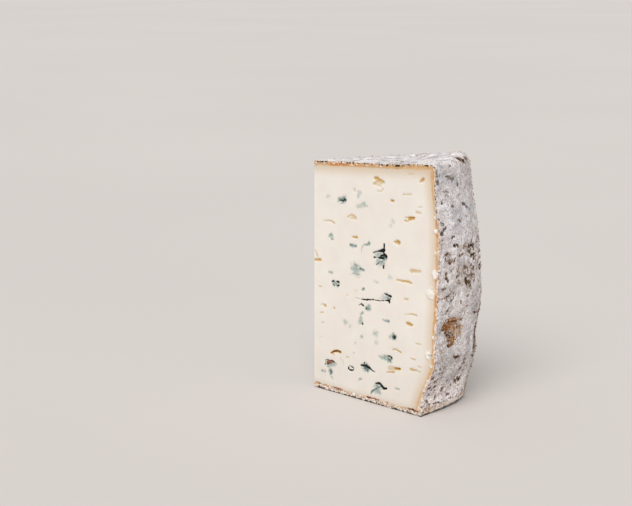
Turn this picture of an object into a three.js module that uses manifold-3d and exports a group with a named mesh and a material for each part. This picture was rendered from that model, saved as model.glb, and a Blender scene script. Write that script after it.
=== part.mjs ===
// A wedge of blue cheese cut from a tall drum: one solid of paste and rind, open where its holes are cut.
// Millimetres, +Z up. X runs along the middle line from the point to the rind and Y across it.
// The origin is under the middle of the bounding box, on the surface that the wedge stands on.
import * as THREE from "three";
import { mergeVertices } from "three/addons/utils/BufferGeometryUtils.js";
import Module from "manifold-3d";

const { degToRad, lerp, smoothstep } = THREE.MathUtils;

// Driving dimensions of the wedge
const WEDGE_ANGLE = degToRad(32.6);
const POINT_RADIUS = 1.8; // the knife leaves the point this blunt, measured from the drum's centre
const POINT_HEIGHT = 148.4;
const TOP_SAG = 0.6;
const FRONT_CUT = { height: 155, belly: 105.2, corner: 3.2 };
const BACK_CUT = { height: 156.4, belly: 107.2, corner: 5 };
const FOOT_ROUNDING = 1.2;

// Facets along the skin's path and round the wedge
const BOTTOM_STEPS = 4;
const FOOT_STEPS = 2;
const RIM_STEPS = 46;
const CORNER_STEPS = 4;
const TOP_STEPS = 28;
const TURN_STEPS = 22;

// The rind's unevenness: waves that get shorter and lower, each along a direction of its own
const WAVE_COUNT = 10;
const LONGEST_WAVE = 34;
const HIGHEST_WAVE = 0.26;
const WAVE_SHORTENING = 0.8;
const WAVE_LOWERING = 0.88;
const TOP_CALM = 0.6; // the top's rind is flatter than the rim's
const GOLDEN_ANGLE = Math.PI * (3 - Math.sqrt(5));

// Swellings and dents of the rind: degrees from the front cut, height up the rim, half width, half height,
// and how far it stands out
const RIND_SPOTS = [
  { name: "rubbed patch", angle: 7.4, up: 53, wide: 9, tall: 8, out: -1.1 },
  { name: "upper dent", angle: 17, up: 128, wide: 5, tall: 7, out: -0.8 },
  { name: "long pit", angle: 15.6, up: 86, wide: 2.2, tall: 7, out: -0.9 },
  { name: "side pit", angle: 21.7, up: 85, wide: 2, tall: 4.5, out: -0.7 },
  { name: "high pit", angle: 11.9, up: 100, wide: 2.4, tall: 3.5, out: -0.6 },
  { name: "foot hollow", angle: 16, up: 19, wide: 8, tall: 5, out: -0.8 },
  { name: "back knob", angle: 29, up: 156, wide: 3.2, tall: 3, out: 1.6 },
  { name: "front knob", angle: 1, up: 145, wide: 3, tall: 4, out: 0.7 },
];

// Holes on the front cut face: millimetres from the point and from the foot, width, height, depth,
// degrees of tilt (up towards the rind) and bend (how far the ends droop)
const FRONT_HOLES = [
  { along: 56.7, up: 139, wide: 9.2, tall: 9, deep: 3.4, tilt: 20, bend: 0 },
  { along: 91, up: 145.4, wide: 4.3, tall: 3.2, deep: 1.8, tilt: 0, bend: 0 },
  { along: 67, up: 130, wide: 3.2, tall: 1.8, deep: 1.2, tilt: 0, bend: 0 },
  { along: 82, up: 121, wide: 7.4, tall: 3, deep: 2, tilt: -8, bend: -1 },
  { along: 72, up: 105, wide: 5.6, tall: 3.3, deep: 2.2, tilt: 10, bend: 0 },
  { along: 34, up: 116, wide: 8, tall: 3.2, deep: 1, tilt: 5, bend: 1 },
  { along: 86.3, up: 89.3, wide: 11, tall: 2.8, deep: 1.8, tilt: 4, bend: 0.5 },
  { along: 77.5, up: 81.8, wide: 12.6, tall: 2.8, deep: 2.2, tilt: -4, bend: 0.8 },
  { along: 82.3, up: 56.2, wide: 5.8, tall: 2.3, deep: 1.6, tilt: 18, bend: 0 },
  { along: 72.5, up: 37.6, wide: 6.7, tall: 2.8, deep: 1.6, tilt: -6, bend: 0.8 },
  { along: 70, up: 25, wide: 11.8, tall: 3.2, deep: 2.4, tilt: 8, bend: 0.6 },
  { along: 88, up: 28, wide: 10, tall: 2.3, deep: 1.2, tilt: 6, bend: 0.4 },
  { along: 19.8, up: 26.5, wide: 9.6, tall: 3, deep: 1.8, tilt: 5, bend: 0.8 },
  { along: 10, up: 56, wide: 6.3, tall: 2.9, deep: 1.4, tilt: -5, bend: 0 },
  { along: 25.2, up: 125.7, wide: 7.6, tall: 4, deep: 2.4, tilt: 15, bend: 0 },
  { along: 14.7, up: 101.4, wide: 6.7, tall: 4.3, deep: 1.8, tilt: 0, bend: 0 },
  { along: 34.6, up: 97.8, wide: 7, tall: 2.8, deep: 1.6, tilt: 4, bend: 0.5 },
  { along: 46.4, up: 100.5, wide: 7.2, tall: 3.8, deep: 1.8, tilt: 24, bend: 0 },
  { along: 56.3, up: 95, wide: 11.5, tall: 5.6, deep: 3.2, tilt: 10, bend: 0 },
  { along: 60.8, up: 96.5, wide: 5, tall: 12, deep: 3.4, tilt: 0, bend: 0 },
  { along: 38.4, up: 83.5, wide: 11.8, tall: 7, deep: 2.6, tilt: 8, bend: -1.4 },
  { along: 19.6, up: 71.5, wide: 7.7, tall: 4.6, deep: 2.2, tilt: 0, bend: 0 },
  { along: 51.5, up: 67, wide: 26, tall: 1.9, deep: 2, tilt: 6, bend: 0 },
  { along: 62.5, up: 69.2, wide: 9.4, tall: 5.4, deep: 2.6, tilt: 0, bend: 0 },
  { along: 42.6, up: 61.7, wide: 4.6, tall: 2.6, deep: 1.6, tilt: -10, bend: 0 },
  { along: 41.5, up: 52.7, wide: 3.2, tall: 8.8, deep: 1.6, tilt: 0, bend: 0 },
  { along: 63.2, up: 55, wide: 6.8, tall: 3.4, deep: 1.2, tilt: 0, bend: 0 },
  { along: 69, up: 45.7, wide: 6, tall: 3.9, deep: 2.4, tilt: 0, bend: 0 },
  { along: 62.8, up: 31, wide: 11.6, tall: 4.4, deep: 2.4, tilt: 0, bend: 0.5 },
  { along: 15.3, up: 19, wide: 10.8, tall: 4.8, deep: 2.6, tilt: 0, bend: 1 },
  { along: 15.7, up: 11.6, wide: 3.4, tall: 6, deep: 1.4, tilt: 0, bend: 0 },
  { along: 33.4, up: 18.6, wide: 6, tall: 3.9, deep: 1.8, tilt: 0, bend: 0 },
  { along: 47.7, up: 22, wide: 13.2, tall: 4.2, deep: 2.6, tilt: -12, bend: 0 },
  { along: 57, up: 11.2, wide: 14, tall: 5.2, deep: 2.8, tilt: -10, bend: 0 },
];
const HOLE_SIDES = 9;
const HOLE_ROWS = 5; // an odd count keeps every row of corners off the cut face
const HOLE_LUMP = 0.12;

// Holes on the back cut face, which follow a rule: lowest and highest value of each measure
const BACK_HOLES = {
  count: 36,
  seed: 2087,
  spacing: 10.5,
  along: [9, 90],
  up: [9, 140],
  wide: [3.5, 12],
  tall: [2, 5],
  deep: [1.2, 3],
  tilt: [-18, 22],
  bend: [-0.6, 1],
};

const CHEESE = { color: 0xe8dccd, roughness: 0.62, metalness: 0 };

// Radius of the rim at height z. The cheese bellies out and tucks in over its foot, where it was pressed.
function frontRadius(z) {
  const shoulder = 4.9 * smoothstep(z, 114, 148);
  const waist = 2 * (1 - smoothstep(z, 45, 85));
  const tuck = 11.9 * (1 - smoothstep(z, 2, 38));
  const lip = 2.1 * (1 - smoothstep(z, 0, 4));
  return FRONT_CUT.belly - shoulder - waist - tuck + lip;
}

function backRadius(z) {
  const shoulder = 8 * smoothstep(z, 80, 156);
  const waist = 2.2 * (1 - smoothstep(z, 38, 64));
  const tuck = 6.9 * (1 - smoothstep(z, -4, 38));
  return BACK_CUT.belly - shoulder - waist - tuck;
}

function rimRadius(turn, z) {
  return lerp(frontRadius(z), backRadius(z), smoothstep(turn, 0, 1));
}

function rimHeight(turn) {
  return lerp(FRONT_CUT.height, BACK_CUT.height, turn);
}

// The top climbs from the point to the rim in a nearly straight line.
function topHeight(turn, reach) {
  return lerp(POINT_HEIGHT, rimHeight(turn), reach) - TOP_SAG * Math.sin(Math.PI * reach);
}

// Unit direction and size of each wave of the rind
const RIND_WAVES = Array.from({ length: WAVE_COUNT }, (_, i) => {
  const z = 1 - (2 * i + 1) / WAVE_COUNT;
  const flat = Math.sqrt(1 - z * z);
  return {
    direction: new THREE.Vector3(flat * Math.cos(i * GOLDEN_ANGLE), flat * Math.sin(i * GOLDEN_ANGLE), z),
    length: LONGEST_WAVE * WAVE_SHORTENING ** i,
    height: HIGHEST_WAVE * WAVE_LOWERING ** i,
  };
});

function waviness(point) {
  let sum = 0;
  for (const [i, wave] of RIND_WAVES.entries()) {
    const cycles = point.dot(wave.direction) / wave.length;
    sum += wave.height * Math.sin(2 * Math.PI * cycles + i);
  }
  return sum;
}

function spotRelief(turn, point) {
  const arc = turn * WEDGE_ANGLE;
  let sum = 0;
  for (const spot of RIND_SPOTS) {
    const across = ((arc - degToRad(spot.angle)) * FRONT_CUT.belly) / spot.wide;
    const up = (point.z - spot.up) / spot.tall;
    sum += spot.out * Math.exp(-across * across - up * up);
  }
  return sum;
}

function facing(turn) {
  return (turn - 0.5) * WEDGE_ANGLE;
}

function inPlane(turn, radius, z) {
  const angle = facing(turn);
  return new THREE.Vector3(radius * Math.cos(angle), radius * Math.sin(angle), z);
}

// The skin's path at one turn: from the point's foot along the bottom, up the rim, back along the top.
// slope is the way that the skin faces there, in radians above level, and relief how uneven it is.
function skinPath(turn) {
  const path = [];
  const foot = rimRadius(turn, FOOT_ROUNDING) - FOOT_ROUNDING;
  const corner = lerp(FRONT_CUT.corner, BACK_CUT.corner, turn);
  const shoulder = rimHeight(turn) - corner;
  const topEdge = rimRadius(turn, shoulder) - corner;
  const quarter = Math.PI / 2;
  for (let i = 0; i < BOTTOM_STEPS; i++) {
    path.push({ r: lerp(POINT_RADIUS, foot, i / BOTTOM_STEPS), z: 0, slope: -quarter, relief: 0 });
  }
  for (let i = 0; i < FOOT_STEPS; i++) {
    const slope = -quarter * (1 - i / FOOT_STEPS);
    const r = foot + FOOT_ROUNDING * Math.cos(slope);
    path.push({ r, z: FOOT_ROUNDING * (1 + Math.sin(slope)), slope, relief: 0 });
  }
  for (let i = 0; i < RIM_STEPS; i++) {
    const z = lerp(FOOT_ROUNDING, shoulder, i / RIM_STEPS);
    path.push({ r: rimRadius(turn, z), z, slope: 0, relief: smoothstep(z, 1, 9) });
  }
  for (let i = 0; i < CORNER_STEPS; i++) {
    const slope = (quarter * i) / CORNER_STEPS;
    const r = topEdge + corner * Math.cos(slope);
    path.push({ r, z: shoulder + corner * Math.sin(slope), slope, relief: 1 });
  }
  for (let i = 0; i <= TOP_STEPS; i++) {
    const r = lerp(topEdge, POINT_RADIUS, i / TOP_STEPS);
    const reach = (r - POINT_RADIUS) / (topEdge - POINT_RADIUS);
    const relief = lerp(TOP_CALM, 1, smoothstep(reach, 0.85, 1)) * smoothstep(r, POINT_RADIUS, 12);
    path.push({ r, z: topHeight(turn, reach), slope: quarter, relief });
  }
  return path;
}

// The path at one turn as points in space, with the rind's unevenness raised on it
function skinRow(turn) {
  return skinPath(turn).map(({ r, z, slope, relief }) => {
    const smooth = inPlane(turn, r, z);
    const out = relief * (waviness(smooth) + spotRelief(turn, smooth));
    return inPlane(turn, r + out * Math.cos(slope), z + out * Math.sin(slope));
  });
}

// The wedge before its holes: rows of skin from the front cut to the back cut, closed at the point,
// and a flat cut face on the first and on the last row
function uncutWedge() {
  const rows = Array.from({ length: TURN_STEPS + 1 }, (_, i) => skinRow(i / TURN_STEPS));
  const perRow = rows[0].length;
  const index = [];
  for (let i = 0; i < TURN_STEPS; i++) {
    for (let k = 0; k < perRow; k++) {
      const next = (k + 1) % perRow;
      const here = i * perRow;
      const there = here + perRow;
      index.push(here + k, there + k, there + next, here + k, there + next, here + next);
    }
  }
  for (const [i, outward] of [[0, false], [TURN_STEPS, true]]) {
    const outline = rows[i].map((p) => new THREE.Vector2(Math.hypot(p.x, p.y), p.z));
    for (const [a, b, c] of THREE.ShapeUtils.triangulateShape(outline, [])) {
      const first = i * perRow;
      index.push(first + a, first + (outward ? c : b), first + (outward ? b : c));
    }
  }
  const geometry = new THREE.BufferGeometry().setFromPoints(rows.flat());
  geometry.setIndex(index);
  return geometry;
}

// A hole's cutter: a lumpy ball pressed to the hole's width, height and depth, bent, tilted and set on
// the cut face that stands at `angle` round the drum's centre
function holeCutter(hole, angle, lumpTurn) {
  const ball = new THREE.SphereGeometry(1, HOLE_SIDES, HOLE_ROWS);
  const position = ball.getAttribute("position");
  for (let i = 0; i < position.count; i++) {
    const x = position.getX(i);
    const y = position.getY(i);
    const z = position.getZ(i);
    const lump = 1 + HOLE_LUMP * Math.sin(3 * Math.atan2(z, x) + lumpTurn);
    const droop = hole.bend * x * x;
    position.setXYZ(i, (x * lump * hole.wide) / 2, y * hole.deep, (z * lump * hole.tall) / 2 - droop);
  }
  const place = new THREE.Matrix4()
    .makeRotationZ(angle)
    .multiply(new THREE.Matrix4().makeTranslation(hole.along, 0, hole.up))
    .multiply(new THREE.Matrix4().makeRotationY(-degToRad(hole.tilt)));
  return ball.applyMatrix4(place);
}

// Repeatable random numbers from 0 to 1
function seeded(seed) {
  let state = seed;
  return () => {
    state = (state * 16807) % 2147483647;
    return state / 2147483647;
  };
}

// The back cut's holes: drawn one by one, each kept only where it is clear of the others
function backHoles() {
  const random = seeded(BACK_HOLES.seed);
  const draw = (measure) => lerp(...BACK_HOLES[measure], random());
  const holes = [];
  while (holes.length < BACK_HOLES.count) {
    const hole = { along: draw("along"), up: draw("up"), wide: draw("wide"), tall: draw("tall") };
    hole.tall = Math.min(hole.tall, hole.wide);
    hole.deep = draw("deep");
    hole.tilt = draw("tilt");
    hole.bend = draw("bend");
    const gap = (other) => Math.hypot(other.along - hole.along, other.up - hole.up);
    if (holes.every((other) => gap(other) > BACK_HOLES.spacing)) holes.push(hole);
  }
  return holes;
}

function toSolid(geometry) {
  const bare = geometry.clone();
  bare.deleteAttribute("normal");
  bare.deleteAttribute("uv");
  const merged = mergeVertices(bare, 1e-4);
  return new wasm.Manifold(
    new wasm.Mesh({
      numProp: 3,
      vertProperties: merged.getAttribute("position").array,
      triVerts: Uint32Array.from(merged.index.array),
    }),
  );
}

function toGeometry(solid) {
  const { vertProperties, triVerts } = solid.getMesh();
  const geometry = new THREE.BufferGeometry();
  geometry.setAttribute("position", new THREE.BufferAttribute(vertProperties, 3));
  geometry.setIndex(new THREE.BufferAttribute(triVerts, 1));
  return geometry;
}

function cheeseWedge() {
  const faces = [
    { holes: FRONT_HOLES, angle: facing(0) },
    { holes: backHoles(), angle: facing(1) },
  ];
  let solid = toSolid(uncutWedge());
  for (const { holes, angle } of faces) {
    for (const [i, hole] of holes.entries()) {
      solid = solid.subtract(toSolid(holeCutter(hole, angle, i)));
    }
  }
  const geometry = toGeometry(solid);
  geometry.computeBoundingBox();
  const { min, max } = geometry.boundingBox;
  geometry.translate(-(min.x + max.x) / 2, -(min.y + max.y) / 2, -min.z);
  geometry.computeVertexNormals();
  const mesh = new THREE.Mesh(geometry, new THREE.MeshStandardMaterial(CHEESE));
  mesh.name = "cheese_wedge";
  return mesh;
}

const wasm = await Module();
wasm.setup();

const wedge = new THREE.Group();
wedge.add(cheeseWedge());

export default wedge;
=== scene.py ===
"""A wedge of blue cheese: ivory paste cut open on two sides, in a rough crust of grey mould.

Lengths are millimetres, measured from the drum's axis and the surface that the wedge stands on, until
`make_mesh` turns them into metres in the frame. A cut face is measured by `along`, from the point towards
the rind, and `up`. The rind is measured by `arc`, from the front cut round the rim, and `up`.
"""

import bmesh
import bpy
import numpy as np
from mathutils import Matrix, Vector


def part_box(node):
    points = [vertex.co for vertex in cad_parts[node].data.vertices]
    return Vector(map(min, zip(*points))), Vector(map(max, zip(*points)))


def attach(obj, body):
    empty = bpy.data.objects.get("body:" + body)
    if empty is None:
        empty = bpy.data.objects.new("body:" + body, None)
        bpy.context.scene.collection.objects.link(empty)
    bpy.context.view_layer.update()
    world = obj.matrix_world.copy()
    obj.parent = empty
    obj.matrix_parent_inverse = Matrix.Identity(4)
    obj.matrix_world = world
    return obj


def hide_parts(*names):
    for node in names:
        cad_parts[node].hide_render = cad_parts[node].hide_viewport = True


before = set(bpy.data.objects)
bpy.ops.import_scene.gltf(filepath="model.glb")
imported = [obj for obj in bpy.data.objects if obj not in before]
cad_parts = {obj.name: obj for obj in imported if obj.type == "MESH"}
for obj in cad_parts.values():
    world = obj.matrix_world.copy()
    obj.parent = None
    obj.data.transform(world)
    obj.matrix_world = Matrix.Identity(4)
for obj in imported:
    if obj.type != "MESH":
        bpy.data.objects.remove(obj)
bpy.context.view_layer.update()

MM = 0.001
NODE = "cheese_wedge"

# ---------------------------------------------------------------- driving dimensions
WEDGE_ANGLE = np.radians(32.6)
HALF_ANGLE = WEDGE_ANGLE / 2
POINT_RADIUS = 1.8
SHOWN_POINT_RADIUS = 0.6  # the cut edge at the point is sharper than the solid's
POINT_HEIGHT = 148.4
FRONT_SAG, BACK_BULGE = 0.3, 0.8  # of the top, at the two cuts
FRONT_HEIGHT, BACK_HEIGHT = 155.0, 156.4
FRONT_BELLY, BACK_BELLY = 105.2, 107.2
FRONT_CORNER, BACK_CORNER = 3.2, 6.5
FRONT_FOOT, BACK_FOOT = 1.4, 4.0  # rounding of the foot at both cuts
# Steps of the rim's profile at both cuts: how far out, and the heights where a step starts and ends.
# In front a shoulder, a waist, a deep tuck and the foot's lip; at the back a long shoulder, a waist, a tuck
FRONT_STEPS = [(-4.9, 114, 148), (-2, 85, 45), (-11.9, 38, 2), (2.1, 4, 0)]
BACK_STEPS = [(-8, 80, 156), (-2.2, 64, 38), (-6.9, 38, -4)]
RIND_THICKNESS = 2.0
PASTE_UNDER_RIND = 0.8  # how far the paste runs on behind the crust
CREAM_WIDTH = 9.0  # the paste is creamier this close to the crust
SEAM_UP, SEAM_REACH = 2.9, 0.9  # height of the red-brown seam at the foot, and how far it fades
FACE_SHIFT = 0.3  # the front's marks stand this much nearer the point, because they are sunk in
EDGE_BLUR = 0.2  # a mark is this much wider than its solid middle
RIM_FADE, TOP_FADE, SEAM_FADE = 1.2, 2.0, 0.8  # of the edge's colours at the ends of their stretches
PASTE_EDGE_ANGLE, RIND_EDGE_ANGLE = 62, 70  # edges sharper than this many degrees are shown sharp
MERGE_DISTANCE = 0.004  # points nearer than this are one
# How each kind of mark is drawn: softness and raggedness of its edge, halo, and shade, which is painted shade
# under its upper edge
EYE_STYLE, BLUE_STYLE, BLACK_STYLE = (0.5, 0.2, 0.12, 0.3), (0.85, 0.42, 0.5, 0.0), (0.36, 0.12, 0.0, 0.0)
RUST_STYLE, TUFT_STYLE, RAW_TUFT_STYLE = (0.4, 0.3, 0.0, 0.0), (0.7, 0.6, 0.0, 0.0), (0.7, 0.5, 0.0, 0.0)
PIT_STYLE, BARE_STYLE, BLOOM_STYLE = (0.65, 0.75, 0.4, 0.12), (0.4, 0.38, 0.2, 0.0), (0.8, 0.6, 0.0, 0.0)
CROWD_STYLE, CLOUD_STYLE = (0.9, 0.5, 0.0, 0.0), (0.9, 0.6, 0.0, 0.0)

GRID_ALONG, GRID_UP = 170, 256  # points of the cut faces
RIM_POINTS, TOP_POINTS, BOTTOM_POINTS, CORNER_POINTS, FOOT_POINTS = 300, 184, 110, 8, 5
TURN_POINTS = 113
BAND_ROWS = 6
LINING_POINTS = 7  # points across the crust's hidden inner side

# The drum's axis in the frame: the point stands on the low X side, and the back cut bulges further out
low_corner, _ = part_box(NODE)
AXIS_X = low_corner[0] / MM - POINT_RADIUS * np.cos(HALF_ANGLE)
AXIS_Y = (FRONT_BELLY - BACK_BELLY) * np.sin(HALF_ANGLE) / 2

# The crust's unevenness
WAVE_COUNT, LONGEST_WAVE, HIGHEST_WAVE = 10, 34.0, 0.26
WAVE_SHORTENING, WAVE_LOWERING = 0.8, 0.88
TOP_CALM = 0.6
# Its fine relief: cell and height of lumps and grains, cell and depth of creases and specks
LUMP_CELL, LUMP_HEIGHT, GRAIN_CELL, GRAIN_HEIGHT = 4.4, 0.2, 1.7, 0.14
CREASE_CELL, CREASE_DEPTH, SPECK_CELL, SPECK_DEPTH = 7.0, 0.2, 3.0, 0.35
REGION_CELL = 24.0  # of the parts of the crust with more or fewer specks
PIT_DEPTH, BARE_DEPTH, BLOOM_HEIGHT = 0.42, 0.4, 0.25
LIP_TOP, LIP_HEIGHT, LIP_LUMPS = 5.8, 0.3, 0.75  # the foot's thick lip, and how uneven it is
GOLDEN_ANGLE = np.pi * (3 - np.sqrt(5))

# Swellings and dents of the crust: arc, up, half width, half height, how far out
RIND_SPOTS = [
    (13.6, 53.0, 9.0, 8.0, -1.1),  # rubbed patch
    (31.2, 128.0, 5.0, 7.0, -0.8),  # upper dent
    (28.6, 86.0, 2.2, 7.0, -0.9),  # long pit
    (39.8, 85.0, 2.0, 4.5, -0.7),  # side pit
    (21.8, 100.0, 2.4, 3.5, -0.6),  # high pit
    (29.4, 19.0, 8.0, 5.0, -0.8),  # foot hollow
    (50.0, 156.0, 4.0, 2.5, 0.6),  # back knob
    (60.0, 151.0, 4.0, 6.0, -0.8),  # beside it
    (1.8, 145.0, 3.0, 4.0, 0.7),  # front knob
]

# Marks in the cut faces and on the crust. Each is a bowed stroke: from (along, up) to (along, up), its
# width at both ends, the bow's rise at its middle and how strong its colour is. Where one width is left
# out both ends have the other, and where the bow is left out it is 0.
# Gas holes, open to the cut, whose warm brown insides are painted glow of light scattered in the paste and
# painted shade
FRONT_EYES = [
    # the big hole high up, with its pale hollow and the crack under it
    (52.4, 142.4, 56.2, 142.4, 1.9, 1.7, 0.66), (55, 141.7, 60.6, 141, 1.6, 1, 0.7),
    (56.6, 142.3, 58.6, 142.2, 0.5, 0.9), (59, 141.4, 60.4, 141.1, 0.6, 0.85),
    (51.3, 139, 54, 139.4, 1.5, 0.45), (53.2, 140.6, 59.6, 140, 2, 1.8, 0.36),
    (53.8, 138.9, 58.5, 137.8, 2, 1.6, 0.28), (60.3, 140.6, 61.2, 140.1, 0.6, 0.55),
    (55, 134.8, 60.2, 137, 0.8, 0.8, -0.8, 0.45),
    # upper right
    (80, 147.5, 85.5, 148.5, 1.4, 1.2, 0.3), (89, 144, 92, 146.2, 1, 2.2, 0.74),
    (75.5, 135, 83, 136, 0.9, 0.7, 0.4), (66, 130.3, 68.5, 130.1, 1.4, 0.8),
    (87.5, 128.8, 91.5, 129.3, 0.9, 0.28), (86, 125.3, 91, 125.2, 1.6, 1.4, 0.3),
    (80.4, 120.8, 85, 121.6, 2.1, 1.7, 0.74), (80.3, 121.9, 85.6, 122.3, 0.5, 0.8, 0.95),
    (77.5, 121.5, 80.5, 121.5, 0.6, 0.8, 0.5), (77, 119.2, 80.5, 119.3, 0.7, 0.9, 0.6),
    (69, 104.8, 73.5, 105.3, 1.2, 3.2, 0.68),
    # upper left
    (35.7, 134, 35.8, 132.2, 2.6, 2.4, 0.27), (29.5, 115.5, 38, 115.7, 1, 1.2, 1.7, 0.36),
    (32, 115.3, 37, 115.3, 1.4, 1.6, 0.2, 0.28), (9, 110.8, 15, 111.3, 0.7, 1, 0.4),
    (15, 111.3, 19, 109.7, 1.2, 1.2, 0.3, 0.42), (33.8, 103.3, 38.5, 103.6, 0.8, 1.5, 0.8),
    # middle right
    (82, 89, 91, 90.2, 2.4, 2, 0.36), (83, 90, 91, 90.8, 0.6, 0.42), (71.5, 81.8, 76, 82.2, 1, 1.3, 0.52),
    (76, 82, 84, 81.8, 1.4, 1.2, 0.4, 0.55), (77, 71, 81, 71.5, 0.8, 1.6, 0.4),
    (78, 61.5, 84, 62.7, 0.5, 1, 0.38), (84, 62.8, 89, 62.3, 1.1, 1, 0.4, 0.44),
    (79.5, 56.5, 85, 56, 1.6, 0.72), (87.5, 45.3, 92, 45, 1, 0.32),
    # near the point
    (1.5, 91, 3.5, 86.5, 1.2, 1.5, 0.35), (0.8, 84, 6.5, 85, 1.4, 1.8, 0.65),
    (4, 67.2, 7.5, 67.7, 0.7, 0.45), (28.5, 65.5, 31.3, 65.9, 0.7, 0.3),
    (6.5, 55.8, 10, 56.5, 0.6, 0.8, 0.5), (9.6, 55.6, 10.8, 55.4, 1.8, 0.62),
    (17.8, 55.2, 18.7, 54.9, 1.8, 2, 0.42), (5.5, 50.4, 9, 51, 0.7, 0.4), (7, 44, 10, 44, 1.2, 0.25),
    (6, 34, 8, 34.3, 0.8, 0.25),
    # low down
    (15.5, 25.2, 24.3, 27.5, 1, 1.4, 1, 1.25), (17, 24.8, 19, 24.8, 0.8, 0.35),
    (29, 25.2, 32, 25.4, 0.7, 0.35), (68.5, 37.7, 73, 38.3, 0.8, 1, 0.3, 0.55), (73, 38, 76, 37.2, 1, 0.65),
    (83.5, 35, 88, 34.8, 0.9, 0.38), (66, 26.3, 71, 26.2, 1.4, 1.8, 0.3),
    (70.5, 26.2, 75.5, 26.5, 1.6, 1.4, 0.95), (65, 24.5, 71, 25.3, 2.6, 0.28),
    (71.5, 13.6, 75, 13.2, 1, 0.7), (64, 22.3, 70.5, 23.8, 0.7, 1.2, 0.62), (83.5, 28, 88, 28.2, 1.6, 0.5),
    (88, 28.3, 92, 28, 1, 0.4), (89.5, 31, 93, 31.2, 0.6, 0.6, 0.3, 0.35),
]
# Threads and pockets of blue mould, from faint grey to deep teal
FRONT_BLUES = [
    # high up
    (11.5, 126, 15, 126.3, 2.6, 0.27), (21.5, 125.4, 28.5, 126, 2.8, 3.6, 0.74),
    (24, 127.5, 28, 127.5, 1.6, 1.4, 0.3), (24.5, 124.2, 26, 124.2, 0.8, 0.6),
    (23.3, 122.8, 24.5, 123, 0.7, 0.4), (41, 133, 38.5, 129.3, 2.6, 3, 0.33),
    (38, 123, 43, 125.2, 3.2, 0.38), (43, 125.3, 47, 124.3, 2.8, 1.2, 0.5), (67.5, 119, 68, 117, 3.2, 0.26),
    (65.5, 115, 67, 114.5, 2.6, 0.22), (13, 101, 17, 102.3, 1.6, 2.2, 0.55),
    (14, 102.5, 17.5, 102.8, 1, 0.8, 0.6), (15, 100.3, 18, 99.8, 0.9, 0.8, 0.55),
    (31.5, 97.8, 37.5, 98, 1.4, 0.75), (44, 100, 49, 101.8, 1, 2, -0.3, 0.8),
    (44, 99.8, 41.8, 94.7, 1.4, 0.7, -0.5, 0.4),
    # the large fan
    (54, 96, 60, 96, 3.2, 3.4, 0.46), (55, 91.5, 61, 90.5, 4.5, 4.8, 0.48),
    (59.4, 94.8, 62, 93.6, 2, 2.6, 1), (60.2, 92.4, 59.4, 89.4, 2.8, 2.4, 0.46),
    # the round pocket left of it
    (35.8, 83.8, 37.6, 83.2, 6.8, 7, 0.48), (34.6, 81.6, 38.8, 81.2, 3, 0.44),
    (33.4, 82.4, 33.5, 84.2, 0.8, 0.66), (34.8, 85.3, 37.2, 86.6, 0.8, 0.9, 0.3, 0.68),
    (37, 86.6, 39.8, 86, 0.9, 0.9, 0.1, 0.66), (34.2, 80.4, 39, 80, 0.8, 0.9, -0.2, 0.54),
    (39.7, 81.2, 39.9, 79.6, 0.8, 0.54), (39.7, 84.5, 44.5, 84, 1.1, 1.3, -0.1, 0.86),
    # middle left
    (13, 78.3, 17.2, 78.3, 1.2, 1.6, 0.6), (17.3, 71.5, 22.3, 71.2, 2.8, 0.58),
    (43, 72.2, 44.3, 72.2, 1.6, 0.7), (65.5, 82.5, 67, 82.8, 3, 0.26), (52.8, 78.3, 56, 78.2, 1.8, 0.3),
    (36.5, 69.8, 38, 69.8, 2.4, 0.2),
    # the wedge over the long crack, and the chain under it
    (56.5, 67.8, 64, 70, 0.8, 4, 0.36), (60, 69.4, 65, 69.8, 2.4, 3.4, 0.46),
    (63.4, 69.8, 66, 69.5, 2.2, 1.8, 0.7), (45.5, 60, 49.2, 60.3, 2, 2.8, 0.8),
    (43.5, 57, 41.3, 55, 1.2, 1.4, 0.55), (41.5, 55, 41.6, 50, 1.6, 3, 0.5),
    (39.5, 49.3, 42, 49.3, 1.4, 0.4), (60.3, 55, 66, 55, 1.1, 1.8, 0.65), (27, 48.7, 29, 47.3, 3, 3.8, 0.4),
    (31.5, 45.5, 33.5, 46, 2.8, 0.3), (53, 45, 55.5, 45.5, 3.8, 0.38), (54, 39.8, 56, 39.8, 2.6, 0.3),
    (41.8, 40.8, 43.5, 40.8, 2, 0.5), (68.8, 45.8, 70.8, 46, 3, 0.82), (66.3, 45.3, 68, 45.6, 1.8, 0.45),
    (36.5, 36, 38, 36, 1.2, 0.3), (35.5, 29.5, 36.8, 29.6, 1.1, 0.32),
    # low left
    (12, 17, 19.5, 18, 2.8, 2.6, 0.52), (18.5, 19.3, 20.4, 19.2, 1.2, 0.52), (7.3, 12, 8.8, 11.8, 1.4, 0.65),
    (10, 11.8, 10.8, 12, 1.2, 0.5), (15, 13.5, 16, 11.3, 3, 2.8, 0.78), (15.8, 10, 16.5, 9.8, 0.9, 0.6),
    (17, 9.5, 17.3, 8.3, 0.8, 0.35), (24.5, 24, 27, 20, 0.8, 1, 0.3, 0.28),
    # low middle and right
    (44.5, 22.3, 48.5, 21, 4.2, 3.8, 0.82), (57.5, 30.8, 64, 31.4, 2, 4, 0.58),
    (64.5, 30.6, 67.6, 30.4, 3, 2.8, 0.72), (40.3, 12.8, 43, 13.6, 1.3, 1, 0.5),
    (54.5, 12, 59, 11.5, 3.4, 3, 0.6), (53, 7, 58.5, 9.5, 2.4, 5, 0.52),
    (59, 12.2, 54.3, 9, 0.8, 1, -0.2, 0.9), (54.2, 8.8, 51, 5.6, 0.9, 0.7, -0.5, 0.85),
    (71.5, 13.6, 75, 13.2, 1.1, 0.5),
]
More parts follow.
